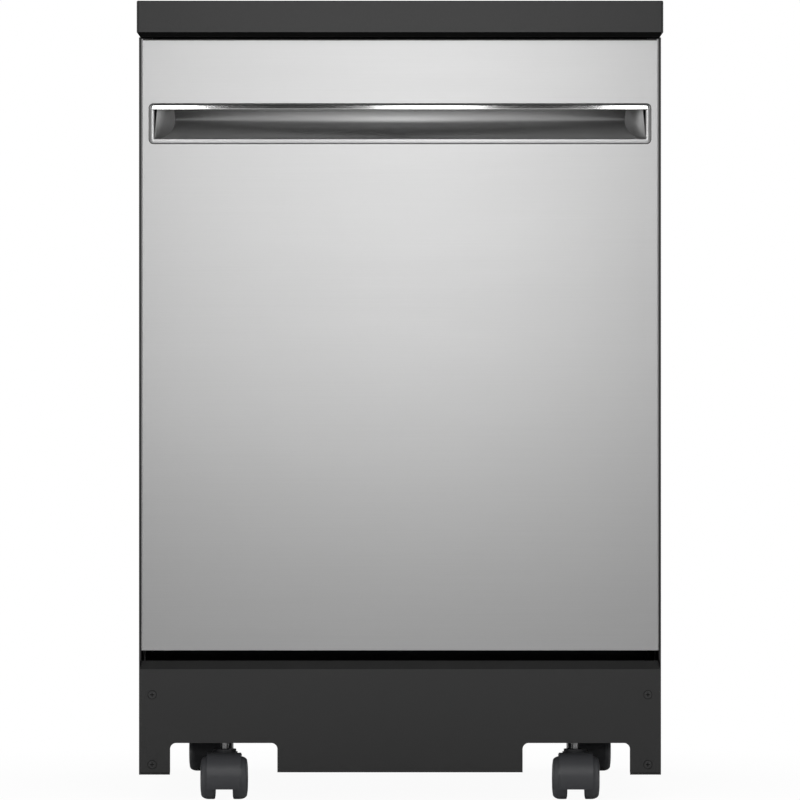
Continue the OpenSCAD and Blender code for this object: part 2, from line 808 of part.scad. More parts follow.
module drain_impeller() {
    x0 = sump_r + 14 + 5;
    color("#c9cccd") translate([2*x0 + 11, 0, 0]) mirror([1, 0, 0])
        impeller(22, x0, x0 + 11, x0 - 18);
}

module inlet_valve() {
    x = -in_x + base_t;
    y = base_back - base_t - 60;
    color("#d8d8d4") {
        block([x, y, base_floor], [x + 34, y + 30, base_floor + 26]);
        rod_z(11, base_floor + 26, base_floor + 62, x + 17, y + 15);
        rod_y(7, y + 30, y + 40, x + 17, base_floor + 15);
    }
}

// A hose that turns a square corner: along Y, then along X, at one height
module hose_yx(r, y0, y1, x0, x1, z) {
    rod_y(r, y0, y1, x0, z);
    translate([x0, y1, z]) sphere(r = r);
    rod_x(r, min(x0, x1), max(x0, x1), y1, z);
}

module inner_hoses() {
    volute_x = -sump_r - 14 - 13;
    feed_y = tub_in_back - 13;
    drain_x = sump_r + 14 + 11;
    drain_y = wash_y + 46; // where the drain hose leaves its pump
    turn_y = wash_y + 120; // where it turns towards its gland
    color("#232324") {
        hose_yx(hose_r - 0.5, wash_y + 66, feed_y, volute_x, 0, wash_outlet_z);
        rod_z(hose_r - 2.5, wash_outlet_z, tub_bottom + 1, 0, feed_y);
        hose_yx(hose_r - 0.5, drain_y, turn_y, drain_x, hose_gland.x, drain_outlet_z);
        translate([hose_gland.x, turn_y, drain_outlet_z]) sphere(r = hose_r - 0.5);
        rod_y(hose_r - 0.5, turn_y, base_back - 20, hose_gland.x, drain_outlet_z);
    }
}

module upper_rack_rails() {
    t = 1.5;
    x0 = tub_in_x - 11.5;
    color("#c2c5c7") both_sides() difference() {
        block([x0, rack_front + 2, rail_z - rail_h/2], [tub_in_x, upper_back + 26,
            rail_z + rail_h/2]);
        block([x0 - 1, rack_front + 1, rail_z - rail_h/2 + t], [tub_in_x - t,
            upper_back + 26 - t, rail_z + rail_h/2 - t]);
    }
}

module door_strike() {
    z = latch_z;
    color("#c2c5c7") difference() {
        union() {
            block([-12, liner_y - 23, z], [12, flange_y, z + 2]);
            block([-18, flange_y - 2, z], [18, flange_y, z + 5]);
        }
        block([-6, liner_y - 18.5, z - 1], [6, liner_y - 9.5, z + 3]);
    }
}

// ---- Base frame's fittings ----

module hinge_brackets() {
    x0 = liner_x + 4;
    t = 3;
    post_y = hinge_y + 36;
    color("#9fa3a6") both_sides() {
        side_plate(x0, x0 + t) {
            translate([hinge_y, hinge_z]) circle(r = 8);
            translate([hinge_y, hinge_z - 8]) square([40, 16]);
            translate([post_y, base_floor]) square([27, hinge_z + 8 - base_floor]);
        }
        block([x0, post_y, base_floor], [in_x - base_t, post_y + 27, base_floor + t]);
        rod_x(hinge_pin_d/2, x0 - 28, x0 + t, hinge_y, hinge_z);
    }
}

module junction_box() {
    box = [70, 54, 46];
    clear = 6; // to the rim of the base's opening
    at = [base_open_x + base_t + clear, wash_y + 40, base_floor];
    color("#b4b6b3") block(at, at + box);
}

module rear_glands() {
    flange_t = 4;
    color("#1f1f20") {
        difference() {
            union() {
                rod_y(gland_r - 0.1, base_back - 6, back_y + 1, cord_gland.x, cord_gland.y);
                rod_y(gland_r + 4, back_y, back_y + flange_t, cord_gland.x, cord_gland.y);
                rod_y(gland_r - 2, back_y, back_y + 16, cord_gland.x, cord_gland.y);
            }
            rod_y(4, base_back - 7, back_y + 17, cord_gland.x, cord_gland.y);
        }
        difference() {
            union() {
                rod_y(hose_gland_r - 0.1, base_back - 6, back_y + 1, hose_gland.x, hose_gland.y);
                rod_y(hose_gland_r + 4, back_y, back_y + flange_t, hose_gland.x, hose_gland.y);
            }
            rod_y(hose_gland_r - 4, base_back - 7, back_y + 17, hose_gland.x, hose_gland.y);
        }
    }
}

module counterweight() {
    x = base_open_x - 55;
    h = 50;
    clear = 12; // to the rims in front of it and behind it
    color("#4d4d4b") block([-x, base_open_back + clear, base_floor],
        [x, base_back - base_t - clear, base_floor + h]);
}

// ---- Door ----

module door_panel() {
    top_return = 6;
    bottom_return = 12;
    in_y = door_y + sheet;
    r = door_edge_r;
    margin = 3; // the trim ring covers the edge of the cut by this much
    color("#b8babb") difference() {
        union() {
            translate([0, 0, door_bottom]) linear_extrude(door_top - door_bottom) difference() {
                union() {
                    translate([-door_x, door_y + r]) square([2*door_x, door_t - r - 3]);
                    translate([-door_x + r, door_y]) square([2*(door_x - r), r + 1]);
                    for (side = [-1, 1]) translate([side*(door_x - r), door_y + r])
                        circle(r = r);
                }
                translate([-door_in_x, in_y]) square([2*door_in_x, door_t]);
            }
            block([-door_in_x - eps, in_y - eps, door_top - sheet], [door_in_x + eps,
                door_y + top_return + sheet, door_top]);
            block([-door_in_x - eps, in_y - eps, door_bottom], [door_in_x + eps,
                door_y + bottom_return, door_bottom + sheet]);
        }
        block([-grip_x - margin, door_y - 1, grip_bottom - margin],
            [grip_x + margin, in_y + eps, grip_top + margin]);
    }
}

module handle_trim() {
    bar_mid = (trim_top + grip_top)/2;
    color("#d3d5d6") difference() {
        union() {
            front_plate(door_y - trim_proud, door_y)
                round_rect([-trim_x, trim_bottom], [trim_x, trim_top], 5);
            front_plate(door_y - eps, door_y + sheet)
                translate([-grip_x - 2.6, grip_bottom - 2.6])
                square([2*grip_x + 5.2, grip_top - grip_bottom + 5.2]);
            intersection() {
                rod_x(trim_bar_h/2 + 0.6, -grip_x - 1, grip_x + 1, door_y - trim_proud + 1.6,
                    bar_mid);
                block([-grip_x - 1, door_y - trim_proud - 4, grip_top],
                    [grip_x + 1, door_y - eps, trim_top - 0.4]);
            }
        }
        block([-grip_x, door_y - 20, grip_bottom], [grip_x, door_y + 20, grip_top]);
        // The bar is a strip of its own
        block([-trim_x - 1, door_y - 20, grip_top], [trim_x + 1, door_y + 20, grip_top + weld_gap]);
    }
}

// The pocket's outline in Y and Z, grown by g on every side
module pocket_outline(g) {
    front = door_y + sheet;
    r = pocket_floor_r;
    union() {
        translate([front, grip_bottom - g])
            square([pocket_y - r - front, grip_top - grip_bottom + 2*g]);
        translate([front, grip_bottom + r])
            square([pocket_y - front + g, grip_top - grip_bottom - r + g]);
        translate([front + 4 - g, grip_top - 4])
            square([pocket_y - front - 4 + 2*g, 4 + pocket_undercut + g]);
        intersection() {
            translate([pocket_y - r, grip_bottom + r]) circle(r = r + g);
            translate([pocket_y - r - 1, grip_bottom - g]) square([r + g + 1, r + g + 1]);
        }
    }
}

// The pocket's outline in X and Y, grown by g
module pocket_plan(g) {
    front = door_y + sheet;
    polygon([[-grip_x - g, front - 1], [grip_x + g, front - 1], [grip_x + g, front],
        [grip_x - pocket_end_slant + g, pocket_y + g], [-grip_x + pocket_end_slant - g,
        pocket_y + g], [-grip_x - g, front]]);
}

module pocket_body(g) {
    intersection() {
        side_plate(-grip_x - 5, grip_x + 5) pocket_outline(g);
        translate([0, 0, grip_bottom - 5]) linear_extrude(handle_h + 20) pocket_plan(g);
    }
}

module handle_pocket() {
    front = door_y + sheet;
    color("#8f9193") difference() {
        union() {
            pocket_body(pocket_wall);
            front_plate(front, front + pocket_wall)
                translate([-grip_x - 6, grip_bottom - 6])
                square([2*grip_x + 12, grip_top - grip_bottom + 13]);
        }
        pocket_body(0);
        block([-grip_x, front - 1, grip_bottom], [grip_x, front + 1, grip_top]);
    }
}

latch_slot_x = 15;
tub_h = tub_roof - tub_floor;
dispenser = [-4, tub_floor + 0.425*tub_h]; // middle of the dispenser, x and z
dispenser_w = 132;
dispenser_h = 126;
vent_r = 28; // radius of the vent's flange
vent = [tub_in_x - 80, tub_floor + 0.7135*tub_h]; // middle of the door's vent, x and z

module door_liner() {
    low = door_bottom + 4;
    high = door_top - 3.4;
    dish_high = min(grip_bottom - 16, vent.y + vent_r + 34);
    back = liner_y - liner_t;
    wing_low = hinge_z + 17;
    color("#a3a6a8") difference() {
        union() {
            block([-liner_x, back, low], [liner_x, liner_y, high]);
            block([-dish_x - liner_t, field_y - liner_t, dish_low - liner_t],
                [dish_x + liner_t, liner_y - eps, dish_high + liner_t]);
            both_sides() block([liner_x - 3, back - 3, wing_low],
                [console_x, back + 0.1, high - 5]);
        }
        front_plate(field_y, liner_y + 1) round_rect([-dish_x, dish_low],
            [dish_x, dish_high], 14);
        block([-latch_slot_x, back - 4, latch_z - 1.2], [latch_slot_x, liner_y + 1, high + 1]);
        block([dispenser.x - dispenser_w/2 - 0.2, field_y - 5, dispenser.y - dispenser_h/2 - 0.2],
            [dispenser.x + dispenser_w/2 + 0.2, field_y + 1, dispenser.y + dispenser_h/2 + 0.2]);
        rod_y(20, field_y - 5, field_y + 1, vent.x, vent.y);
    }
}

function button_mid(i) = button_x + i*button_pitch;
lens_x0 = button_mid(len(BUTTONS) - 1) + button_pitch/2 + 4;
lens_x1 = lens_x0 + 46;

module control_console() {
    t = console_t;
    posts = [button_mid(0) - button_pitch/2, lens_x1 + 8];
    color("#262728") difference() {
        union() {
            difference() {
                block([-console_x, console_front, console_low], [console_x, console_back,
                    console_top - eps]);
                block([-console_x + t, console_front + t, console_low - 1],
                    [console_x - t, console_back - t, console_top - t]);
            }
            for (x = posts) rod_z(3, board_z + 1.6, console_top - t + eps, x, console_back - 8);
        }
        for (i = [0:len(BUTTONS) - 1])
            block([button_mid(i) - button_w/2 - button_gap, button_y - button_d/2 - button_gap,
                console_top - t - 1], [button_mid(i) + button_w/2 + button_gap,
                button_y + button_d/2 + button_gap, console_top + 1]);
        block([lens_x0, button_y - 3, console_top - t - 1], [lens_x1, button_y + 3,
            console_top + 1]);
        block([-latch_slot_x, console_back - t - 1, latch_z - 1.2],
            [latch_slot_x, console_back + 1, console_top - t + eps]);
    }
}

module control_board() {
    switch_top = console_top - console_t - 6 - button_travel - 0.3;
    color("#2f6b45") {
        block([button_mid(0) - button_pitch/2 - 6, console_front + console_t + 1, board_z],
            [lens_x1 + 14, console_back - console_t - 1, board_z + 1.6]);
        for (i = [0:len(BUTTONS) - 1])
            block([button_mid(i) - 3, button_y - 3, board_z + 1.6],
                [button_mid(i) + 3, button_y + 3, switch_top]);
        block([lens_x0 + 4, button_y - 2, board_z + 1.6], [lens_x1 - 4, button_y + 2,
            board_z + 4]);
    }
}

module indicator_lens() {
    color("#c8ccd0") {
        block([lens_x0, button_y - 3, console_top - console_t], [lens_x1, button_y + 3,
            console_top]);
        block([lens_x0 - 2, button_y - 5, console_top - console_t - 1.5],
            [lens_x1 + 2, button_y + 5, console_top - console_t]);
    }
}

// A push button, number i from the middle of the door. It stands above the console.
module button(i) {
    proud = 0.9;
    flange = 1.2;
    under = console_top - console_t - 0.3;
    color("#55575a") translate([button_mid(i), button_y, 0]) {
        block([-button_w/2, -button_d/2, under - 5.7], [button_w/2, button_d/2,
            console_top + proud]);
        block([-button_w/2 - flange, -button_d/2 - flange, under - 1.5],
            [button_w/2 + flange, button_d/2 + flange, under]);
    }
}

module start_button() { button(0); }

module cycle_button() { button(1); }

module sanitize_button() { button(2); }

module heated_dry_button() { button(3); }

pawl_r = 3;
pawl_z = latch_z - 14;

module latch_housing() {
    low = latch_z - 20;
    t = 2;
    color("#d9d9d6") difference() {
        block([-22, console_front + console_t, low], [22, console_back - console_t,
            console_top - console_t - 0.3]);
        block([-latch_slot_x, console_front + console_t + t, low + t],
            [latch_slot_x, console_back, console_top]);
        rod_x(pawl_r + turn_gap, -30, 30, pawl_y, pawl_z);
    }
}

module latch_hook() {
    reach = liner_y - 14 - pawl_y; // from its axis to the middle of the strike's slot
    tip = latch_z - latch_gap;
    color("#c9b458") {
        rod_x(pawl_r, -19, 19, pawl_y, pawl_z);
        block([-4, pawl_y, pawl_z - 3], [4, pawl_y + reach + 2.5, pawl_z + 3]);
        block([-4, pawl_y + reach - 2.5, pawl_z + 2], [4, pawl_y + reach + 2.5, tip]);
    }
}

cover_w = 72;
cover_h = 85;
cover_x = dispenser.x - 16; // middle of the detergent cover
cover_z = dispenser.y + 4;

module dispenser_body() {
    x = dispenser.x;
    z = dispenser.y;
    color("#7b7f83") difference() {
        union() {
            block([x - dispenser_w/2, field_y - 26, z - dispenser_h/2],
                [x + dispenser_w/2, field_y + 1, z + dispenser_h/2]);
            front_plate(field_y, field_y + 3) round_rect([x - dispenser_w/2 - 6,
                z - dispenser_h/2 - 6], [x + dispenser_w/2 + 6, z + dispenser_h/2 + 6], 8);
            for (side = [-1, 1]) {
                rail = cover_x + side*(cover_w/2 + 1.5);
                block([rail - 1, field_y + 2, cover_z - cover_h/2], [rail + 1, field_y + 7.3,
                    cover_z + cover_h/2]);
                block([rail - 1 - (side > 0 ? 2 : 0), field_y + 6.5, cover_z - cover_h/2],
                    [rail + 1 + (side < 0 ? 2 : 0), field_y + 7.3, cover_z + cover_h/2]);
            }
        }
        block([cover_x - 30, field_y - 22, cover_z - 34], [cover_x + 30, field_y + 5,
            cover_z + 34]);
        rod_y(9 + turn_gap, field_y - 14, field_y + 5, x + 42, z - 14);
    }
}

module detergent_cover() {
    color("#8f9498") {
        block([cover_x - cover_w/2, field_y + 3.3, cover_z - cover_h/2],
            [cover_x + cover_w/2, field_y + 6.2, cover_z + cover_h/2]);
        block([cover_x - 18, field_y + 6, cover_z - 32], [cover_x + 18, field_y + 10,
            cover_z - 26]);
    }
}

module rinse_aid_cap() {
    x = dispenser.x + 42;
    z = dispenser.y - 14;
    color("#5a5e62") {
        rod_y(9, field_y - 12, field_y + 4, x, z);
        rod_y(16, field_y + 3.3, field_y + 8, x, z);
        block([x - 14, field_y + 7, z - 2], [x + 14, field_y + 12, z + 2]);
    }
}

module door_vent() {
    color("#6d7174") difference() {
        union() {
            rod_y(vent_r, field_y, field_y + 5, vent.x, vent.y);
            rod_y(19.8, field_y - 20, field_y + 1, vent.x, vent.y);
        }
        rod_y(16, field_y - 21, field_y + 2, vent.x, vent.y);
        for (i = [-3:3]) block([vent.x - 15, field_y - 1, vent.y + 5*i - 1.3],
            [vent.x + 15, field_y + 6, vent.y + 5*i + 1.3]);
    }
}

module hinge_arms() {
    back = liner_y - liner_t - 3;
    x0 = liner_x;
    arm_w = 20;
    arm_l = 0.49*tub_h;
    color("#9fa3a6") both_sides() difference() {
        side_plate(x0, x0 + 3) {
            translate([back - arm_w, hinge_z]) square([arm_w, arm_l]);
            translate([hinge_y, hinge_z]) circle(r = 10);
        }
        rod_x(hinge_pin_d/2 + turn_gap, x0 - 1, x0 + 4, hinge_y, hinge_z);
    }
}

module hinge_springs() {
    x1 = liner_x - 1;
    color("#6e7275") both_sides() {
        difference() {
            rod_x(hinge_pin_d/2 + 3.4, x1 - 20, x1, hinge_y, hinge_z);
            rod_x(hinge_pin_d/2 + 0.4, x1 - 21, x1 + 1, hinge_y, hinge_z);
        }
        block([x1 - 2, hinge_y - 7, hinge_z], [x1 + 0.7, hinge_y - 5, hinge_z + 40]);
    }
}

// ---- Racks ----

// Five flat grids that make an open basket, with rows of tines along it. Each is a frame that is
// welded to the others.
module rack(x, front, back, low, high, rows) {
    w = 2*x;
    inner = front + wire + weld_gap;
    inner_d = back - front - 2*(wire + weld_gap);
    base = low + wire + weld_gap;
    h = high - base;
    tine_h = 0.55*h;
    tine_end = 21; // from the basket's end to the first and last tine
    nx = 16;
    ny = 14;
    nz = 3;
    translate([-x, front, low]) linear_extrude(wire) grid(w, back - front, nx, ny);
    for (y = [front, back - wire]) translate([0, 0, base])
        front_plate(y, y + wire) translate([-x, 0]) grid(w, h, nx, nz);
    for (side = [-x, x - wire]) translate([0, 0, base])
        side_plate(side, side + wire) translate([inner, 0]) grid(inner_d, h, ny, nz);
    for (row = rows) translate([0, 0, base]) side_plate(row - wire/2, row + wire/2) {
        translate([inner, 0]) square([inner_d, wire]);
        for (i = [0:tine_count])
            translate([inner + tine_end + i*(inner_d - 2*tine_end - wire)/tine_count, 0])
                square([wire, tine_h]);
    }
}

module upper_rack() {
    slide_x0 = tub_in_x - 9;
    slide_x1 = tub_in_x - 3;
    color("#8f979d") rack(rack_x, rack_front, upper_back, upper_z, upper_z + upper_rack_h,
        [-rack_x*0.62, -rack_x*0.24, rack_x*0.24, rack_x*0.62]);
    color("#c2c5c7") both_sides() {
        block([slide_x0, rack_front + 3, rail_z - rail_h/2 + 1.5 + slide_gap],
            [slide_x1, upper_back - 2, rail_z + rail_h/2 - 1.5 - slide_gap]);
        for (y = [rack_front + 40, upper_back - 60])
            block([rack_x + weld_gap, y, rail_z - 8], [slide_x0 + 1, y + 20, rail_z + 8]);
    }
    // Feed of the middle spray arm
    color("#7d8185") difference() {
        union() {
            rod_y(8, 0, conduit_front - 0.4, 0, manifold_z);
            rod_z(14, middle_arm_z + arm_t + 0.5, upper_z - weld_gap, 0, 0);
        }
        rod_z(6 + turn_gap, middle_arm_z + arm_t, middle_arm_z + arm_t + 7, 0, 0);
    }
}

module lower_rack() {
    pitch = (lower_back - lower_front - 136)/3;
    axles = [for (i = [0:3]) lower_front + 112 + i*pitch];
    runner_x0 = rack_x - 5;
    runner_x1 = rack_x + 0.7;
    runner_z = lower_z - weld_gap;
    color("#8f979d") rack(rack_x, lower_front, lower_back, lower_z, lower_z + lower_rack_h,
        [-rack_x*0.64, -rack_x*0.3, rack_x*0.04, rack_x*0.38]);
    color("#6a6e72") both_sides() difference() {
        union() {
            block([runner_x0, axles[0] - 4, runner_z - 5], [runner_x1, axles[3] + 4, runner_z]);
            for (y = axles) {
                rod_x(rack_wheel_r, rack_x + 1, rack_x + 11, y, rack_axle_z);
                rod_x(4, rack_x - 1, rack_x + 2, y, rack_axle_z);
                block([runner_x0, y - 4, rack_axle_z - 4], [runner_x1, y + 4, runner_z]);
            }
        }
        for (y = axles) rod_x(2, rack_x + 5, rack_x + 12, y, rack_axle_z);
    }
}

module cutlery_basket() {
    basket = [73.8, 230, 118];
    x1 = rack_x - wire - 1;
    x0 = x1 - basket.x;
    y0 = lower_front + wire + 12;
    y1 = y0 + basket.y;
    z0 = lower_z + wire;
    t = 2.5;
    cells = 5;
    color("#7f8489") difference() {
        block([x0, y0, z0], [x1, y1, z0 + basket.z]);
        for (i = [0:cells - 1]) {
            step = (y1 - y0 - t)/cells;
            block([x0 + t, y0 + t + i*step, z0 + t],
                [x1 - t, y0 + (i + 1)*step, z0 + basket.z + 1]);
        }
    }
}

worktop();
left_side_panel();
right_side_panel();
back_panel();
base_frame();
toe_panel();
toe_panel_screws();
caster_stems();
tub();
tub_gasket();
sump();
filter_plate();
wash_pump();
drain_pump();
inlet_valve();
inner_hoses();
heating_element();
water_conduit();
upper_rack_rails();
door_strike();
hinge_brackets();
junction_box();
rear_glands();
counterweight();
door_panel();
handle_trim();
handle_pocket();
door_liner();
control_console();
control_board();
indicator_lens();
latch_housing();
dispenser_body();
door_vent();
hinge_arms();
hinge_springs();
latch_hook();
detergent_cover();
rinse_aid_cap();
start_button();
cycle_button();
sanitize_button();
heated_dry_button();
fine_filter();
float();
lower_spray_arm();
middle_spray_arm();
wash_impeller();
drain_impeller();
upper_rack();
lower_rack();
cutlery_basket();
caster_hood_front_left();
caster_hood_front_right();
caster_hood_back_left();
caster_hood_back_right();
caster_wheels_front_left();
caster_wheels_front_right();
caster_wheels_back_left();
caster_wheels_back_right();
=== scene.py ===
"""Dresses a portable dishwasher on wheels: its finishes, wires, casters, studio and camera."""
import logging
import math
from dataclasses import dataclass, field
from enum import Enum
from typing import Callable, Iterable, Sequence

import bpy
from mathutils import Matrix, Vector


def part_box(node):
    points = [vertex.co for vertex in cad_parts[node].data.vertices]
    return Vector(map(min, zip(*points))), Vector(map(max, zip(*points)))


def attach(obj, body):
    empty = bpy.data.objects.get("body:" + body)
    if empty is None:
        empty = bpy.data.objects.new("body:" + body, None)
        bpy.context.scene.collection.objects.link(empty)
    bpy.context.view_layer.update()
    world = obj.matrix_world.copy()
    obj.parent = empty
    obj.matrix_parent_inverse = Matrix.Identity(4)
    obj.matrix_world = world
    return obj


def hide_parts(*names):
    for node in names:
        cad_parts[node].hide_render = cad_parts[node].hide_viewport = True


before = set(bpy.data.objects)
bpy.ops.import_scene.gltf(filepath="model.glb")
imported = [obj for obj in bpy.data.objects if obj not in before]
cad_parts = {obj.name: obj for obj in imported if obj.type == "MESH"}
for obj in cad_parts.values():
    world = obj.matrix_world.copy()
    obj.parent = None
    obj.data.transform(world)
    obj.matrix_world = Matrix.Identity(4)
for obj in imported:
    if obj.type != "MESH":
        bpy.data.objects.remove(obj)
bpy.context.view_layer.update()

MM = 0.001
LOG = logging.getLogger("dishwasher")
Colour = tuple[float, float, float]
FaceTest = Callable[[bpy.types.MeshPolygon], bool]
CORNERS = tuple(f"{end}_{side}" for end in ("front", "back") for side in ("left", "right"))


def grey(value: int) -> Colour:
    """Linear colour of a neutral grey given as an 8-bit display value."""
    return tint(value, value, value)


def tint(red: int, green: int, blue: int) -> Colour:
    """Linear colour of an 8-bit display colour.

    Args:
        red: Red, 0 to 255.
        green: Green, 0 to 255.
        blue: Blue, 0 to 255.

    Returns:
        The three linear channels.
    """
    def channel(value: int) -> float:
        """Linear value of one display channel."""
        share = value / 255
        return share / 12.92 if share <= 0.04045 else ((share + 0.055) / 1.055) ** 2.4

    return channel(red), channel(green), channel(blue)


# ---- Shader groups ----


class Effect(Enum):
    """Surface effects that several finishes share."""

    BRUSHING = "brushing"
    MOTTLE = "mottle"
    GRAIN = "grain"
    DUST = "dust"


class GraphBuilder:
    """Places and links nodes in one node tree."""

    def __init__(self, tree: bpy.types.NodeTree) -> None:
        """Starts on an empty tree."""
        self.tree = tree

    def node(self, kind: str, **settings: object) -> bpy.types.Node:
        """Adds a node and sets its properties.

        Args:
            kind: The node's type name.
            settings: Properties of the node.

        Returns:
            The new node.
        """
        made = self.tree.nodes.new(kind)
        for name, value in settings.items():
            setattr(made, name, value)
        return made

    def link(self, source: bpy.types.NodeSocket, target: bpy.types.NodeSocket) -> None:
        """Joins an output to an input."""
        self.tree.links.new(source, target)

    def math(self, operation: str, first: object, second: object = 0.0) -> bpy.types.NodeSocket:
        """A Math node on two values or sockets.

        Args:
            operation: The Math node's operation.
            first: Number or socket.
            second: Number or socket.

        Returns:
            The result's socket.
        """
        made = self.node("ShaderNodeMath", operation=operation)
        for index, value in enumerate((first, second)):
            if isinstance(value, bpy.types.NodeSocket):
                self.link(value, made.inputs[index])
            else:
                made.inputs[index].default_value = value
        return made.outputs[0]

    def noise(self, vector: bpy.types.NodeSocket, scale: float, detail: float = 3.0,
              rough: float = 0.5) -> bpy.types.NodeSocket:
        """A noise texture's value.

        Args:
            vector: Where the noise is read.
            scale: Features per unit.
            detail: Octaves.
            rough: Strength of the finer octaves.

        Returns:
            The noise value's socket.
        """
        made = self.node("ShaderNodeTexNoise")
        made.inputs["Scale"].default_value = scale
        made.inputs["Detail"].default_value = detail
        made.inputs["Roughness"].default_value = rough
        self.link(vector, made.inputs["Vector"])
        return made.outputs["Fac"]

    def spread(self, value: bpy.types.NodeSocket, low: object, high: object,
               start: float = 0.3, end: float = 0.7) -> bpy.types.NodeSocket:
        """Maps a value's range start..end to low..high.

        Args:
            value: The socket that is mapped.
            low: Result at start.
            high: Result at end.
            start: Lower end of the value's range.
            end: Upper end of the value's range.

        Returns:
            The mapped value's socket.
        """
        made = self.node("ShaderNodeMapRange")
        made.inputs["From Min"].default_value = start
        made.inputs["From Max"].default_value = end
        for name, bound in (("To Min", low), ("To Max", high)):
            if isinstance(bound, bpy.types.NodeSocket):
                self.link(bound, made.inputs[name])
            else:
                made.inputs[name].default_value = bound
        self.link(value, made.inputs["Value"])
        return made.outputs["Result"]


class EffectLibrary:
    """Builds each shared effect's node group once."""

    PLAIN = (1.0, 1.0, 1.0)

    def __init__(self) -> None:
        """Starts with no groups."""
        self.built: dict[Effect, bpy.types.NodeTree] = {}

    def get(self, effect: Effect) -> bpy.types.NodeTree:
        """The group of an effect, built at its first use."""
        if effect not in self.built:
            self.built[effect] = getattr(self, "_" + effect.value)()
        return self.built[effect]

    def _start(self, name: str, inputs: Sequence[tuple[str, float]],
               outputs: Sequence[str]) -> tuple[GraphBuilder, bpy.types.Node, bpy.types.Node]:
        """An empty group with its sockets.

        Args:
            name: The group's name.
            inputs: Names and defaults of the float inputs.
            outputs: Names of the float outputs.

        Returns:
            The builder, the group's input node and its output node.
        """
        tree = bpy.data.node_groups.new(name, "ShaderNodeTree")
        for label, default in inputs:
            socket = tree.interface.new_socket(label, in_out="INPUT", socket_type="NodeSocketFloat")
            socket.default_value = default
        for label in outputs:
            tree.interface.new_socket(label, in_out="OUTPUT", socket_type="NodeSocketFloat")
        build = GraphBuilder(tree)
        return build, build.node("NodeGroupInput"), build.node("NodeGroupOutput")

    def _stretched(self, build: GraphBuilder, stretch: Sequence[float]) -> bpy.types.NodeSocket:
        """Object coordinates scaled by one factor an axis."""
        place = build.node("ShaderNodeTexCoord")
        mapping = build.node("ShaderNodeMapping")
        mapping.inputs["Scale"].default_value = stretch
        build.link(place.outputs["Object"], mapping.inputs["Vector"])
        return mapping.outputs["Vector"]

    def _scaled(self, build: GraphBuilder, vector: bpy.types.NodeSocket,
                factor: bpy.types.NodeSocket) -> bpy.types.NodeSocket:
        """A vector scaled by a value of the group."""
        made = build.node("ShaderNodeVectorMath", operation="SCALE")
        build.link(vector, made.inputs[0])
        build.link(factor, made.inputs["Scale"])
        return made.outputs[0]

    def _brushing(self) -> bpy.types.NodeTree:
        """Fine lines along X, with a broad drift: Lines, Drift, Scratches."""
        build, given, result = self._start(
            "brushed_lines", (("Fineness", 1.0),), ("Lines", "Drift", "Scratches"))
        lines = self._stretched(build, (3.0, 900.0, 900.0))
        fine = build.noise(self._scaled(build, lines, given.outputs["Fineness"]), 2.0, 4.0, 0.65)
        broad = build.noise(self._stretched(build, (1.2, 9.0, 9.0)), 1.0, 2.0)
        marks = build.noise(self._stretched(build, (6.0, 420.0, 420.0)), 1.0, 1.0)
        build.link(fine, result.inputs["Lines"])
        build.link(broad, result.inputs["Drift"])
        build.link(build.spread(marks, 0.0, 1.0, 0.62, 0.74), result.inputs["Scratches"])
        return build.tree

    def _mottle(self) -> bpy.types.NodeTree:
        """Soft uneven patches at a chosen size: Patches, Flecks."""
        build, given, result = self._start(
            "mottled_patches", (("Size", 40.0),), ("Patches", "Flecks"))
        place = self._stretched(build, self.PLAIN)
        sized = self._scaled(build, place, given.outputs["Size"])
        build.link(build.noise(sized, 1.0, 4.0, 0.6), result.inputs["Patches"])
        build.link(build.noise(sized, 14.0, 2.0, 0.6), result.inputs["Flecks"])
        return build.tree

    def _grain(self) -> bpy.types.NodeTree:
        """Fine moulded or sprayed texture: Height."""
        build, given, result = self._start("fine_grain", (("Pitch", 1400.0),), ("Height",))
        place = self._stretched(build, self.PLAIN)
        cells = build.node("ShaderNodeTexVoronoi", feature="SMOOTH_F1")
        build.link(place, cells.inputs["Vector"])
        build.link(given.outputs["Pitch"], cells.inputs["Scale"])
        fuzz = build.noise(place, 900.0, 2.0)
        total = build.math("ADD", cells.outputs["Distance"], build.math("MULTIPLY", fuzz, 0.6))
        build.link(total, result.inputs["Height"])
        return build.tree

    def _dust(self) -> bpy.types.NodeTree:
        """A mask of what settles on faces that look up: Mask."""
        build, given, result = self._start("settled_dust", (("Amount", 0.2),), ("Mask",))
        normal = build.node("ShaderNodeNewGeometry")
        axes = build.node("ShaderNodeSeparateXYZ")
        build.link(normal.outputs["Normal"], axes.inputs[0])
        facing = build.spread(axes.outputs["Z"], 0.0, 1.0, 0.35, 1.0)
        patches = build.noise(self._stretched(build, self.PLAIN), 34.0, 5.0, 0.7)
        mask = build.math("MULTIPLY", facing, build.spread(patches, 0.0, 1.0, 0.4, 0.75))
        build.link(build.math("MULTIPLY", mask, given.outputs["Amount"]), result.inputs["Mask"])
        return build.tree


EFFECTS = EffectLibrary()


# ---- Finishes ----


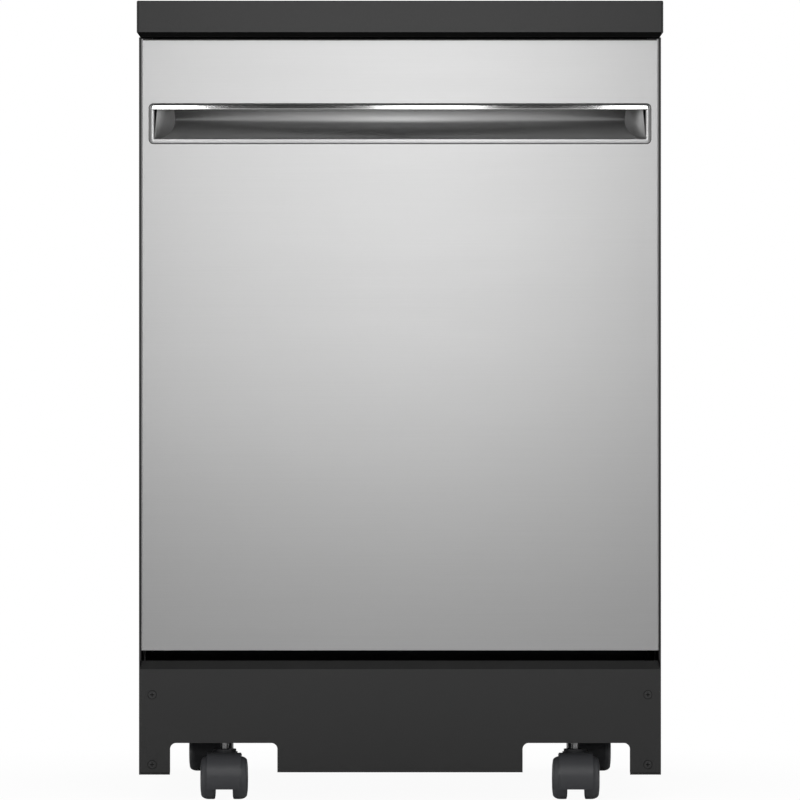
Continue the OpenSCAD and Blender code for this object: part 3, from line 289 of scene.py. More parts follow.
@dataclass(frozen=True)
class Finish:
    """A surface finish. Its subclasses add what they draw over the base.

    Attributes:
        name: The material's name.
        slot: The record's slot that it stands for.
        colour: Linear base colour.
        roughness: Mean roughness.
        metallic: 0 or 1.
        coat: Weight of the clear coat.
        specular: Specular level.
    """

    name: str
    slot: str
    colour: Colour
    roughness: float = 0.5
    metallic: float = 0.0
    coat: float = 0.0
    specular: float = 0.5

    def material(self) -> bpy.types.Material:
        """The finish's material, built at its first use."""
        found = bpy.data.materials.get(self.name)
        if found:
            return found
        made = bpy.data.materials.new(self.name)
        made.use_nodes = True
        build = GraphBuilder(made.node_tree)
        shader = made.node_tree.nodes["Principled BSDF"]
        shader.inputs["Base Color"].default_value = (*self.colour, 1.0)
        shader.inputs["Roughness"].default_value = self.roughness
        shader.inputs["Metallic"].default_value = self.metallic
        shader.inputs["Coat Weight"].default_value = self.coat
        shader.inputs["Coat Roughness"].default_value = 0.12
        shader.inputs["Specular IOR Level"].default_value = self.specular
        self.draw(build, shader)
        made.diffuse_color = (*self.colour, 1.0)
        return made

    def draw(self, build: GraphBuilder, shader: bpy.types.Node) -> None:
        """Adds the finish's own detail to its shader.

        Args:
            build: The material's builder.
            shader: The Principled shader.
        """

    def group(self, build: GraphBuilder, effect: Effect, **values: float) -> bpy.types.Node:
        """Places a shared effect with this finish's values.

        Args:
            build: The material's builder.
            effect: Which effect.
            values: Values of the group's inputs.

        Returns:
            The group node.
        """
        made = build.node("ShaderNodeGroup")
        made.node_tree = EFFECTS.get(effect)
        for name, value in values.items():
            made.inputs[name].default_value = value
        return made

    def vary_colour(self, build: GraphBuilder, shader: bpy.types.Node,
                    mask: bpy.types.NodeSocket, dark: float, light: float,
                    other: Colour | None = None) -> None:
        """Runs the base colour between two shades of itself along a mask.

        Args:
            build: The material's builder.
            shader: The Principled shader.
            mask: Value from 0 to 1.
            dark: Factor on the colour at 0.
            light: Factor on the colour at 1.
            other: Colour at 1 in place of the finish's own.
        """
        mix = build.node("ShaderNodeMix", data_type="RGBA")
        end = other or self.colour
        mix.inputs[6].default_value = (*(c * dark for c in self.colour), 1.0)
        mix.inputs[7].default_value = (*(c * light for c in end), 1.0)
        build.link(mask, mix.inputs[0])
        build.link(mix.outputs[2], shader.inputs["Base Color"])

    def bump(self, build: GraphBuilder, shader: bpy.types.Node, height: bpy.types.NodeSocket,
             depth: float, strength: float = 1.0) -> None:
        """Feeds a height to the shader's normal.

        Args:
            build: The material's builder.
            shader: The Principled shader.
            height: The height socket, 0 to 1.
            depth: Depth of the relief in metres.
            strength: Strength of the effect.
        """
        made = build.node("ShaderNodeBump")
        made.inputs["Distance"].default_value = depth
        made.inputs["Strength"].default_value = strength
        build.link(height, made.inputs["Height"])
        build.link(made.outputs["Normal"], shader.inputs["Normal"])


@dataclass(frozen=True)
class Brushed(Finish):
    """Steel brushed along X.

    Attributes:
        contrast: How strongly the lines show in the colour.
        fineness: Factor on the number of lines.
        anisotropy: Stretch of the highlights.
        turn: Direction of that stretch in turns; 0.25 lies across the lines, 0 along them.
    """

    metallic: float = 1.0
    contrast: float = 0.05
    fineness: float = 1.0
    anisotropy: float = 0.0
    turn: float = 0.25

    def draw(self, build: GraphBuilder, shader: bpy.types.Node) -> None:
        """Lines in the colour, the roughness and a faint relief.

        Args:
            build: The material's builder.
            shader: The Principled shader.
        """
        lines = self.group(build, Effect.BRUSHING, Fineness=self.fineness)
        mixed = build.math("ADD", build.math("MULTIPLY", lines.outputs["Lines"], 0.7),
                           build.math("MULTIPLY", lines.outputs["Drift"], 0.3))
        self.vary_colour(build, shader, build.spread(mixed, 0.0, 1.0, 0.32, 0.68),
                         1.0 - self.contrast, 1.0 + self.contrast)
        wear = build.math("ADD", build.spread(lines.outputs["Lines"], -0.03, 0.03),
                          build.math("MULTIPLY", lines.outputs["Scratches"], -0.015))
        build.link(build.math("ADD", wear, self.roughness), shader.inputs["Roughness"])
        self.bump(build, shader, lines.outputs["Lines"], 0.00001, 0.5)
        if self.anisotropy:
            shader.inputs["Anisotropic"].default_value = self.anisotropy
            tangent = build.node("ShaderNodeTangent", direction_type="RADIAL", axis="Z")
            build.link(tangent.outputs[0], shader.inputs["Tangent"])
            shader.inputs["Anisotropic Rotation"].default_value = self.turn


@dataclass(frozen=True)
class Polished(Finish):
    """Bright plated metal with faint wipe marks."""

    metallic: float = 1.0

    def draw(self, build: GraphBuilder, shader: bpy.types.Node) -> None:
        """Wipe marks in the roughness."""
        patches = self.group(build, Effect.MOTTLE, Size=9.0)
        build.link(build.spread(patches.outputs["Patches"], self.roughness * 0.85,
                                self.roughness * 1.2), shader.inputs["Roughness"])
        self.vary_colour(build, shader, patches.outputs["Patches"], 0.985, 1.015)


@dataclass(frozen=True)
class Painted(Finish):
    """Powder-coated or sprayed steel.

    Attributes:
        peel: Depth of the coat's orange peel in metres.
        dust: How much dust lies on faces that look up.
    """

    peel: float = 0.00003
    dust: float = 0.12

    def draw(self, build: GraphBuilder, shader: bpy.types.Node) -> None:
        """Uneven gloss, orange peel and a little dust.

        Args:
            build: The material's builder.
            shader: The Principled shader.
        """
        patches = self.group(build, Effect.MOTTLE, Size=22.0)
        dust = self.group(build, Effect.DUST, Amount=self.dust)
        grain = self.group(build, Effect.GRAIN, Pitch=1100.0)
        self.vary_colour(build, shader, dust.outputs["Mask"], 1.0, 1.0, tint(150, 148, 144))
        build.link(build.spread(patches.outputs["Patches"], self.roughness - 0.05,
                                self.roughness + 0.05), shader.inputs["Roughness"])
        self.bump(build, shader, grain.outputs["Height"], self.peel)


@dataclass(frozen=True)
class Moulded(Finish):
    """Moulded plastic or rubber with a fine grain.

    Attributes:
        pitch: Grains per metre.
        depth: Depth of the grain in metres.
        uneven: Spread of the colour.
    """

    pitch: float = 1500.0
    depth: float = 0.00004
    uneven: float = 0.04

    def draw(self, build: GraphBuilder, shader: bpy.types.Node) -> None:
        """Grain in the relief and a soft drift of colour and gloss.

        Args:
            build: The material's builder.
            shader: The Principled shader.
        """
        patches = self.group(build, Effect.MOTTLE, Size=26.0)
        grain = self.group(build, Effect.GRAIN, Pitch=self.pitch)
        self.vary_colour(build, shader, patches.outputs["Patches"],
                         1.0 - self.uneven, 1.0 + self.uneven)
        build.link(build.spread(patches.outputs["Flecks"], self.roughness - 0.04,
                                self.roughness + 0.04), shader.inputs["Roughness"])
        self.bump(build, shader, grain.outputs["Height"], self.depth)


@dataclass(frozen=True)
class Plated(Finish):
    """Zinc-plated, cast or heat-stained metal with broad patches.

    Attributes:
        size: Patches per metre.
        uneven: Spread of the colour.
        stain: Colour that the patches tend to.
    """

    metallic: float = 1.0
    size: float = 60.0
    uneven: float = 0.12
    stain: Colour | None = None

    def draw(self, build: GraphBuilder, shader: bpy.types.Node) -> None:
        """Patches in the colour and the gloss, over a rough skin.

        Args:
            build: The material's builder.
            shader: The Principled shader.
        """
        patches = self.group(build, Effect.MOTTLE, Size=self.size)
        self.vary_colour(build, shader, build.spread(patches.outputs["Patches"], 0.0, 1.0),
                         1.0 - self.uneven, 1.0 + self.uneven, self.stain)
        build.link(build.spread(patches.outputs["Flecks"], self.roughness - 0.08,
                                self.roughness + 0.08), shader.inputs["Roughness"])
        self.bump(build, shader, patches.outputs["Flecks"], 0.00003)


@dataclass(frozen=True)
class CircuitBoard(Finish):
    """Green board with lighter tracks."""

    def draw(self, build: GraphBuilder, shader: bpy.types.Node) -> None:
        """Tracks from a brick pattern.

        Args:
            build: The material's builder.
            shader: The Principled shader.
        """
        place = build.node("ShaderNodeTexCoord")
        tracks = build.node("ShaderNodeTexBrick")
        tracks.inputs["Scale"].default_value = 160.0
        tracks.inputs["Mortar Size"].default_value = 0.03
        build.link(place.outputs["Object"], tracks.inputs["Vector"])
        self.vary_colour(build, shader, tracks.outputs["Fac"], 1.0, 1.7)


WORKTOP = Moulded("charcoal_laminate", "worktop", grey(42), 0.46, pitch=2200.0, depth=0.00003)
SIDE_PAINT = Painted("black_side_paint", "cabinet_steel", grey(36), 0.42)
BACK_PAINT = Painted("dark_back_paint", "back_steel", grey(66), 0.5)
FRAME_PAINT = Painted("frame_paint", "frame_steel", grey(40), 0.55)
TOE_PAINT = Painted("toe_panel_paint", "toe_steel", grey(50), 0.44, dust=0.05)
# The toe panel's paint made darker for its slope that looks up under the door: painted shade.
TOE_SLOPE_SHADE = Painted("toe_slope_painted_shade", "toe_steel", grey(42), 0.5, dust=0.02)
SCREW_BLACK = Plated("black_screw", "screw", grey(60), 0.4, metallic=0.0, size=300.0)
# Near black for the screws' cross recesses: painted shade.
RECESS_PAINTED_SHADE = Moulded("screw_recess_painted_shade", "screw", grey(6), 0.8, specular=0.1)
ZINC = Plated("zinc_plate", "zinc_steel", grey(176), 0.32)
DOOR_STEEL = Brushed("brushed_door_steel", "stainless", grey(196), 0.42, contrast=0.03)
# Near black for the worktop's faces that look down: painted shade under its front edge.
WORKTOP_PAINTED_SHADE = Moulded("worktop_painted_shade", "worktop", grey(4), 0.8, specular=0.1)
TRIM_CHROME = Polished("polished_trim", "trim", grey(190), 0.09)
TRIM_SATIN = Brushed("satin_trim", "trim", grey(186), 0.36, contrast=0.02, anisotropy=0.5)
# Dark grey strip along the door's top edge: painted shade under the worktop.
DOOR_TOP_SHADE = Moulded("door_top_shade", "seal_rubber", grey(48), 0.5)
# Dark grey for the thin lines of painted shade round the handle's ring and round the screw heads.
PAINTED_SHADE_LINE = Moulded("painted_shade_line", "seal_rubber", grey(30), 0.7)
POCKET_STEEL = Brushed("satin_pocket_steel", "pocket_steel", grey(212), 0.52, contrast=0.03,
                       anisotropy=0.6, turn=0.0)
# A darker, rougher copy of the pocket steel for the trough's end walls: the darker colour is
# painted shade.
POCKET_END_SHADED = Brushed("satin_pocket_end_shaded", "pocket_steel", grey(190), 0.7, contrast=0.03)
BRACKET = Plated("blackened_bracket", "zinc_steel", grey(52), 0.5)
TUB_PLASTIC = Moulded("tub_plastic", "tub_plastic", tint(150, 153, 157), 0.42)
LINER_PLASTIC = Moulded("inner_door_plastic", "liner_plastic", tint(163, 166, 170), 0.4)
DARK_PLASTIC = Moulded("dark_plastic", "dark_plastic", tint(44, 45, 47), 0.48)
GREY_PLASTIC = Moulded("mid_grey_plastic", "grey_plastic", tint(96, 100, 105), 0.45)
WHITE_PLASTIC = Moulded("natural_plastic", "white_plastic", tint(214, 214, 208), 0.4)
CASTER_PLASTIC = Moulded("caster_nylon", "caster_plastic", tint(80, 81, 84), 0.4, depth=0.00003)
WHEEL_PLASTIC = Moulded("wheel_tread", "wheel_plastic", tint(84, 85, 88), 0.36, depth=0.00002)
RUBBER = Moulded("black_rubber", "seal_rubber", grey(38), 0.6)
HEATER = Plated("sheathed_element", "heater_metal", tint(142, 136, 130), 0.42,
                stain=tint(110, 92, 84))
NYLON_WIRE = Moulded("nylon_coat", "nylon_wire", tint(128, 136, 143), 0.32, coat=0.3,
                     depth=0.00002)
BOARD = CircuitBoard("circuit_board", "board", tint(34, 92, 58), 0.4)
LENS = Moulded("indicator_window", "lens", tint(178, 182, 188), 0.12, coat=0.6, depth=0.00001)
BUTTON = Moulded("button_plastic", "button_plastic", tint(88, 90, 94), 0.42)
BRASS = Plated("hook_brass", "brass", tint(190, 160, 98), 0.34)
CAST = Plated("cast_weight", "cast", grey(76), 0.7, metallic=0.0, size=160.0)

NODE_FINISH: dict[str, Finish] = {
    "worktop": WORKTOP, "left_side_panel": SIDE_PAINT, "right_side_panel": SIDE_PAINT,
    "back_panel": BACK_PAINT, "base_frame": FRAME_PAINT, "toe_panel": TOE_PAINT,
    "toe_panel_screws": SCREW_BLACK, "caster_stems": ZINC, "tub": TUB_PLASTIC,
    "tub_gasket": RUBBER, "sump": DARK_PLASTIC, "wash_pump": DARK_PLASTIC,
    "drain_pump": DARK_PLASTIC, "inlet_valve": WHITE_PLASTIC, "inner_hoses": RUBBER,
    "heating_element": HEATER, "water_conduit": GREY_PLASTIC, "upper_rack_rails": ZINC,
    "door_strike": ZINC, "hinge_brackets": BRACKET, "junction_box": ZINC, "rear_glands": RUBBER,
    "counterweight": CAST, "door_panel": DOOR_STEEL, "door_liner": LINER_PLASTIC,
    "control_console": DARK_PLASTIC, "control_board": BOARD, "indicator_lens": LENS,
    "latch_housing": WHITE_PLASTIC, "dispenser_body": GREY_PLASTIC, "door_vent": GREY_PLASTIC,
    "hinge_arms": BRACKET, "latch_hook": BRASS,
    "detergent_cover": GREY_PLASTIC, "rinse_aid_cap": DARK_PLASTIC, "start_button": BUTTON,
    "cycle_button": BUTTON, "sanitize_button": BUTTON, "heated_dry_button": BUTTON,
    "fine_filter": GREY_PLASTIC, "float": GREY_PLASTIC, "lower_spray_arm": GREY_PLASTIC,
    "middle_spray_arm": GREY_PLASTIC, "wash_impeller": WHITE_PLASTIC,
    "drain_impeller": WHITE_PLASTIC, "cutlery_basket": GREY_PLASTIC,
    "filter_plate": Brushed("filter_steel", "stainless", grey(180), 0.3),
    **{f"caster_hood_{corner}": CASTER_PLASTIC for corner in CORNERS},
}


def dress(part: bpy.types.Object, finish: Finish) -> None:
    """Gives a piece one finish all over."""
    part.data.materials.clear()
    part.data.materials.append(finish.material())


def soften(part: bpy.types.Object, width: float, angle: float = 35.0, segments: int = 2) -> None:
    """Rounds a piece's sharp edges with a bevel modifier.

    Args:
        part: The piece.
        width: Width of the rounding in metres.
        angle: Least angle between faces that counts as an edge, in degrees.
        segments: Steps of the rounding.
    """
    made = part.modifiers.new("rounded_edges", "BEVEL")
    made.width = width
    made.segments = segments
    made.limit_method = "ANGLE"
    made.angle_limit = math.radians(angle)
    made.harden_normals = True


def smooth(part: bpy.types.Object, angle: float = 30.0) -> None:
    """Shades a mesh smooth, but for edges sharper than an angle in degrees."""
    part.data.shade_smooth()
    part.data.set_sharp_from_angle(angle=math.radians(angle))


# ---- Mesh helpers ----


def add_mesh(name: str, verts: Sequence[Sequence[float]], faces: Sequence[Sequence[int]],
             finish: Finish, round_angle: float | None = 30.0) -> bpy.types.Object:
    """Makes a mesh object from lists given in millimetres.

    Args:
        name: The piece's name.
        verts: Corners in millimetres.
        faces: Indices of each face's corners.
        finish: Its finish.
        round_angle: Edges flatter than this are shaded smooth; None leaves all flat.

    Returns:
        The new object.
    """
    mesh = bpy.data.meshes.new(name)
    mesh.from_pydata([tuple(c * MM for c in v) for v in verts], [], faces)
    mesh.validate()
    part = bpy.data.objects.new(name, mesh)
    bpy.context.scene.collection.objects.link(part)
    dress(part, finish)
    if round_angle is not None:
        smooth(part, round_angle)
    return part


def join(name: str, parts: Sequence[bpy.types.Object]) -> bpy.types.Object:
    """Joins mesh objects into the first one.

    Args:
        name: Name of the result.
        parts: The objects, which all go into one.

    Returns:
        The joined object.
    """
    first = parts[0]
    if len(parts) > 1:
        with bpy.context.temp_override(active_object=first, object=first,
                                       selected_objects=list(parts),
                                       selected_editable_objects=list(parts)):
            bpy.ops.object.join()
    first.name = name
    first.data.name = name
    return first


@dataclass
class WireWork:
    """Round wires gathered in one mesh.

    Attributes:
        sides: Corners of each wire's section.
        verts: Corners so far, in millimetres.
        faces: Faces so far.
    """

    sides: int = 8
    verts: list[Vector] = field(default_factory=list)
    faces: list[tuple[int, ...]] = field(default_factory=list)

    def run(self, points: Sequence[Sequence[float]], radius: float, closed: bool = False) -> None:
        """Sweeps a round section along a path.

        Args:
            points: The path in millimetres.
            radius: Radius of the wire.
            closed: Whether the path's end joins its start.
        """
        path = [Vector(p) for p in points]
        count = len(path)
        base = len(self.verts)
        side = None
        for index, here in enumerate(path):
            before = path[index - 1] if index or closed else here
            after = path[(index + 1) % count] if index < count - 1 or closed else here
            along = (after - before).normalized()
            if side is None:
                side = along.orthogonal().normalized()
            side = (side - along * side.dot(along)).normalized()
            up = along.cross(side)
            first, second = (here - before), (after - here)
            reach = 1.0
            if first.length > 1e-6 and second.length > 1e-6:
                reach = 1 / max(math.cos(first.angle(second) / 2), 0.5)
            for step in range(self.sides):
                angle = 2 * math.pi * step / self.sides
                self.verts.append(here + radius * (math.cos(angle) * side
                                                   + math.sin(angle) * up) * min(reach, 1.15))
        for index in range(count if closed else count - 1):
            start, end = base + index * self.sides, base + ((index + 1) % count) * self.sides
            for step in range(self.sides):
                other = (step + 1) % self.sides
                self.faces.append((start + step, start + other, end + other, end + step))
        if not closed:
            self.faces.append(tuple(base + s for s in reversed(range(self.sides))))
            last = base + (count - 1) * self.sides
            self.faces.append(tuple(last + s for s in range(self.sides)))

    def dome(self, centre: Sequence[float], radius: float, rings: int = 4) -> None:
        """Adds a ball, such as the dipped tip of a tine.

        Args:
            centre: Its middle in millimetres.
            radius: Its radius.
            rings: Rings between the poles.
        """
        middle = Vector(centre)
        base = len(self.verts)
        for ring in range(1, rings):
            tilt = math.pi * ring / rings
            for step in range(self.sides):
                angle = 2 * math.pi * step / self.sides
                self.verts.append(middle + radius * Vector((math.sin(tilt) * math.cos(angle),
                                                            math.sin(tilt) * math.sin(angle),
                                                            math.cos(tilt))))
        for ring in range(rings - 2):
            for step in range(self.sides):
                other = (step + 1) % self.sides
                here = base + ring * self.sides
                self.faces.append((here + step, here + self.sides + step,
                                   here + self.sides + other, here + other))
        self.faces.append(tuple(base + s for s in range(self.sides)))
        last = base + (rings - 2) * self.sides
        self.faces.append(tuple(last + s for s in reversed(range(self.sides))))

    def finish(self, name: str, finish: Finish) -> bpy.types.Object:
        """Makes the object from what was gathered."""
        return add_mesh(name, self.verts, self.faces, finish, 50.0)


def rounded_path(corners: Sequence[Sequence[float]], radius: float, closed: bool = False,
                 steps: int = 5) -> list[Vector]:
    """A path through corners with each bend rounded.

    Args:
        corners: The path's corners in millimetres.
        radius: Radius of the bends.
        closed: Whether the last corner joins the first.
        steps: Points on each bend.

    Returns:
        The points of the rounded path.
    """
    points = [Vector(c) for c in corners]
    count = len(points)
    made: list[Vector] = []
    for index, here in enumerate(points):
        if not closed and index in (0, count - 1):
            made.append(here)
            continue
        before, after = points[index - 1], points[(index + 1) % count]
        away, onward = (before - here), (after - here)
        reach = min(radius, away.length * 0.49, onward.length * 0.49)
        start, end = here + away.normalized() * reach, here + onward.normalized() * reach
        for step in range(steps + 1):
            share = step / steps
            made.append(start * (1 - share) ** 2 + here * 2 * share * (1 - share)
                        + end * share ** 2)
    return made


def lathe(name: str, profile: Sequence[tuple[float, float]], finish: Finish,
          steps: int = 64, turn: Matrix | None = None,
          angle: float = 30.0) -> bpy.types.Object:
    """Turns a profile round the Z axis and then places it.

    Args:
        name: The piece's name.
        profile: Closed outline as (radius, height) pairs in millimetres.
        finish: Its finish.
        steps: Steps of the turn.
        turn: Matrix that places the result, its lengths in millimetres.
        angle: Edges flatter than this many degrees are shaded smooth.

    Returns:
        The new object.
    """
    place = turn or Matrix.Identity(4)
    verts, faces = [], []
    count = len(profile)
    for step in range(steps):
        spin = 2 * math.pi * step / steps
        for radius, height in profile:
            verts.append(place @ Vector((radius * math.cos(spin), radius * math.sin(spin), height)))
    for step in range(steps):
        here, there = step * count, ((step + 1) % steps) * count
        for index in range(count):
            other = (index + 1) % count
            faces.append((here + index, there + index, there + other, here + other))
    return add_mesh(name, verts, faces, finish, angle)


def add_block(name: str, low: Sequence[float], high: Sequence[float],
              finish: Finish) -> bpy.types.Object:
    """Makes a block with soft edges between two corners in millimetres."""
    verts = [(x, y, z) for x in (low[0], high[0]) for y in (low[1], high[1])
             for z in (low[2], high[2])]
    faces = [(0, 1, 3, 2), (4, 6, 7, 5), (0, 4, 5, 1), (2, 3, 7, 6), (0, 2, 6, 4), (1, 5, 7, 3)]
    return add_mesh(name, verts, faces, finish)


def paint_where(node: str, finish: Finish, chosen: FaceTest) -> None:
    """Gives some faces of a CAD node a second finish.

    Args:
        node: The node's name.
        finish: The second finish.
        chosen: Tells whether a face gets it.
    """
    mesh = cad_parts[node].data
    mesh.materials.append(finish.material())
    for face in mesh.polygons:
        if chosen(face):
            face.material_index = len(mesh.materials) - 1


# ---- Sub-assemblies ----


@dataclass
class Assembly:
    """A group of the part's pieces that are dressed together.

    Attributes:
        title: Name used in the log.
        nodes: CAD nodes that stay and are dressed.
        edge: Width in metres of the rounding on their sharp edges.
    """

    title: str = "assembly"
    nodes: tuple[str, ...] = ()
    edge: float = 0.0004

    def make(self) -> None:
        """Dresses the nodes that stay, then builds what replaces the others."""
        for name in self.nodes:
            self.dress_node(name)
        built = self.build()
        LOG.info("%s: %d nodes dressed, %d pieces built", self.title, len(self.nodes), len(built))

    def dress_node(self, name: str) -> None:
        """Gives a CAD node its finish, soft edges and smooth curves.

        Args:
            name: The node's name.
        """
        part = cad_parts[name]
        dress(part, NODE_FINISH[name])
        smooth(part)
        if self.edge:
            soften(part, self.edge)
        LOG.info("  %s wears %s", name, NODE_FINISH[name].name)

    def build(self) -> list[bpy.types.Object]:
        """Builds the group's own pieces."""
        return []

    def mount(self, part: bpy.types.Object, body: str, slot: str,
              *replaced: str) -> bpy.types.Object:
        """Puts a new piece on its body, in place of CAD nodes if any are given.

        Args:
            part: The new piece.
            body: The body that it rides on.
            slot: Its material slot; not used.
            replaced: Nodes that it stands for.

        Returns:
            The same piece.
        """
        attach(part, body)
        if replaced:
            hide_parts(*replaced)
        LOG.info("  %s rides on %s", part.name, body)
        return part


def span(node: str) -> tuple[Vector, Vector]:
    """Lowest and highest corner of a CAD node in millimetres."""
    low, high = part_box(node)
    return low / MM, high / MM


@dataclass
class Cabinet(Assembly):
    """Worktop, side and back panels, and what is fixed in the tub."""

    title: str = "cabinet"
    nodes: tuple[str, ...] = (
        "worktop", "left_side_panel", "right_side_panel", "back_panel", "tub", "tub_gasket",
        "water_conduit", "upper_rack_rails", "door_strike", "heating_element", "filter_plate",
        "fine_filter", "float", "rear_glands")

    def build(self) -> list[bpy.types.Object]:
        """Paints the worktop's slanted lip and underside near black, as painted shade on every face
        that looks down.
        """
        paint_where("worktop", WORKTOP_PAINTED_SHADE, lambda face: face.normal.z < -0.2)
        return []


@dataclass
class Undercarriage(Assembly):
    """Base frame, toe panel, casters and the machinery under the tub.

    Attributes:
        wheel_gap: Gap between the wheels of a caster in millimetres.
        axle_r: Radius of their axle.
        tread_flat: Share of a wheel's width over which its tread is flat.
        tread_round: Radius of the shoulder beside it.
        screw_head_r: Radius of the toe panel's screw heads.
        recess_r: Reach of the cross recess in a head.
        recess_d: Depth of that recess.
        shadow_rim_wire: Radius of the wire that forms the dark ring of painted shadow round a head.
    """

    title: str = "undercarriage"
    wheel_gap: float = 20.4
    axle_r: float = 3.0
    tread_flat: float = 0.45
    tread_round: float = 5.5
    screw_head_r: float = 4.5
    recess_r: float = 2.7
    recess_d: float = 1.3
    shadow_rim_wire: float = 0.55
    nodes: tuple[str, ...] = (
        "base_frame", "toe_panel", "toe_panel_screws", "caster_stems", "sump", "wash_pump",
        "drain_pump", "inlet_valve", "inner_hoses", "hinge_brackets", "junction_box",
        "counterweight", "wash_impeller", "drain_impeller",
        *(f"caster_hood_{corner}" for corner in CORNERS))

    def build(self) -> list[bpy.types.Object]:
        """Darkens the toe panel's slope and the screws' cross recesses as painted shade, rings the
        screw heads with painted shadow and turns the casters' wheels.
        """
        paint_where("toe_panel", TOE_SLOPE_SHADE, lambda face: face.normal.z > 0.3 and face.normal.y < 0)
        paint_where("toe_panel_screws", RECESS_PAINTED_SHADE, self.in_recess)
        return [self.build_screw_shadow_rims(), *(self.build_wheels(corner) for corner in CORNERS)]

    def screw_axes(self) -> list[tuple[float, float]]:
        """The x and z of the toe panel's four screws."""
        low, high = span("toe_panel_screws")
        inset = self.screw_head_r
        return [(x, z) for x in (low.x + inset, high.x - inset)
                for z in (low.z + inset, high.z - inset)]

    def in_recess(self, face: bpy.types.MeshPolygon) -> bool:
        """Tells whether a face of the screws lies in a head's cross recess."""
        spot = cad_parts["toe_panel_screws"].matrix_world @ face.center / MM
        depth = spot.y - span("toe_panel_screws")[0].y
        return 0.05 < depth < self.recess_d and any(
            math.hypot(spot.x - x, spot.z - z) < self.recess_r for x, z in self.screw_axes())

    def build_screw_shadow_rims(self) -> bpy.types.Object:
        """Painted shadow: dark rings where the screws' heads meet the toe panel."""
        face = span("toe_panel")[0].y
        reach = self.screw_head_r + 0.2
        wires = WireWork(6)
        for x, z in self.screw_axes():
            wires.run([(x + reach * math.cos(turn), face - 0.1, z + reach * math.sin(turn))
                       for turn in (2 * math.pi * step / 36 for step in range(36))],
                      self.shadow_rim_wire, closed=True)
        return self.mount(wires.finish("screw_shadow_rims", PAINTED_SHADE_LINE), "cabinet", "screw")

    def build_wheels(self, corner: str) -> bpy.types.Object:
        """Two domed wheels on their axle.

        Args:
            corner: The caster's corner, such as front_left.

        Returns:
            The wheels as one piece.
        """
        node = f"caster_wheels_{corner}"
        low, high = span(node)
        middle = (low + high) / 2
        half, radius = (high.x - low.x) / 2, (high.z - low.z) / 2
        wide = half - self.wheel_gap / 2
        flat = wide * self.tread_flat
        profile = [(2.0, 0.0), (radius - 3.0, 0.0), (radius - 0.6, 0.5), (radius, 1.6),
                   (radius, flat)]
        for step in range(1, 9):
            tilt = math.radians(90 * step / 9)
            profile.append((radius - self.tread_round * (1 - math.cos(tilt)),
                            flat + (wide - flat - 0.9) * math.sin(tilt)))
        profile += [(radius * 0.62, wide - 0.35), (radius * 0.6, wide - 1.3),
                    (radius * 0.36, wide - 1.3), (radius * 0.33, wide - 0.3), (6.0, wide),
                    (0.1, wide), (0.1, 0.0)]
        parts = []
        for side in (-1, 1):
            place = (Matrix.Translation(middle + Vector((side * self.wheel_gap / 2, 0, 0)))
                     @ Matrix.Rotation(math.radians(side * 90), 4, "Y"))
            parts.append(lathe(f"tread_{corner}", profile, WHEEL_PLASTIC, 72, place, 35.0))
        axle = WireWork(16)
        reach = self.wheel_gap / 2 + 1
        axle.run([middle - Vector((reach, 0, 0)), middle + Vector((reach, 0, 0))], self.axle_r)
        parts.append(axle.finish("axle", ZINC))
        return self.mount(join(f"round_wheels_{corner}", parts), f"wheels_{corner}",
                          "wheel_plastic", node)


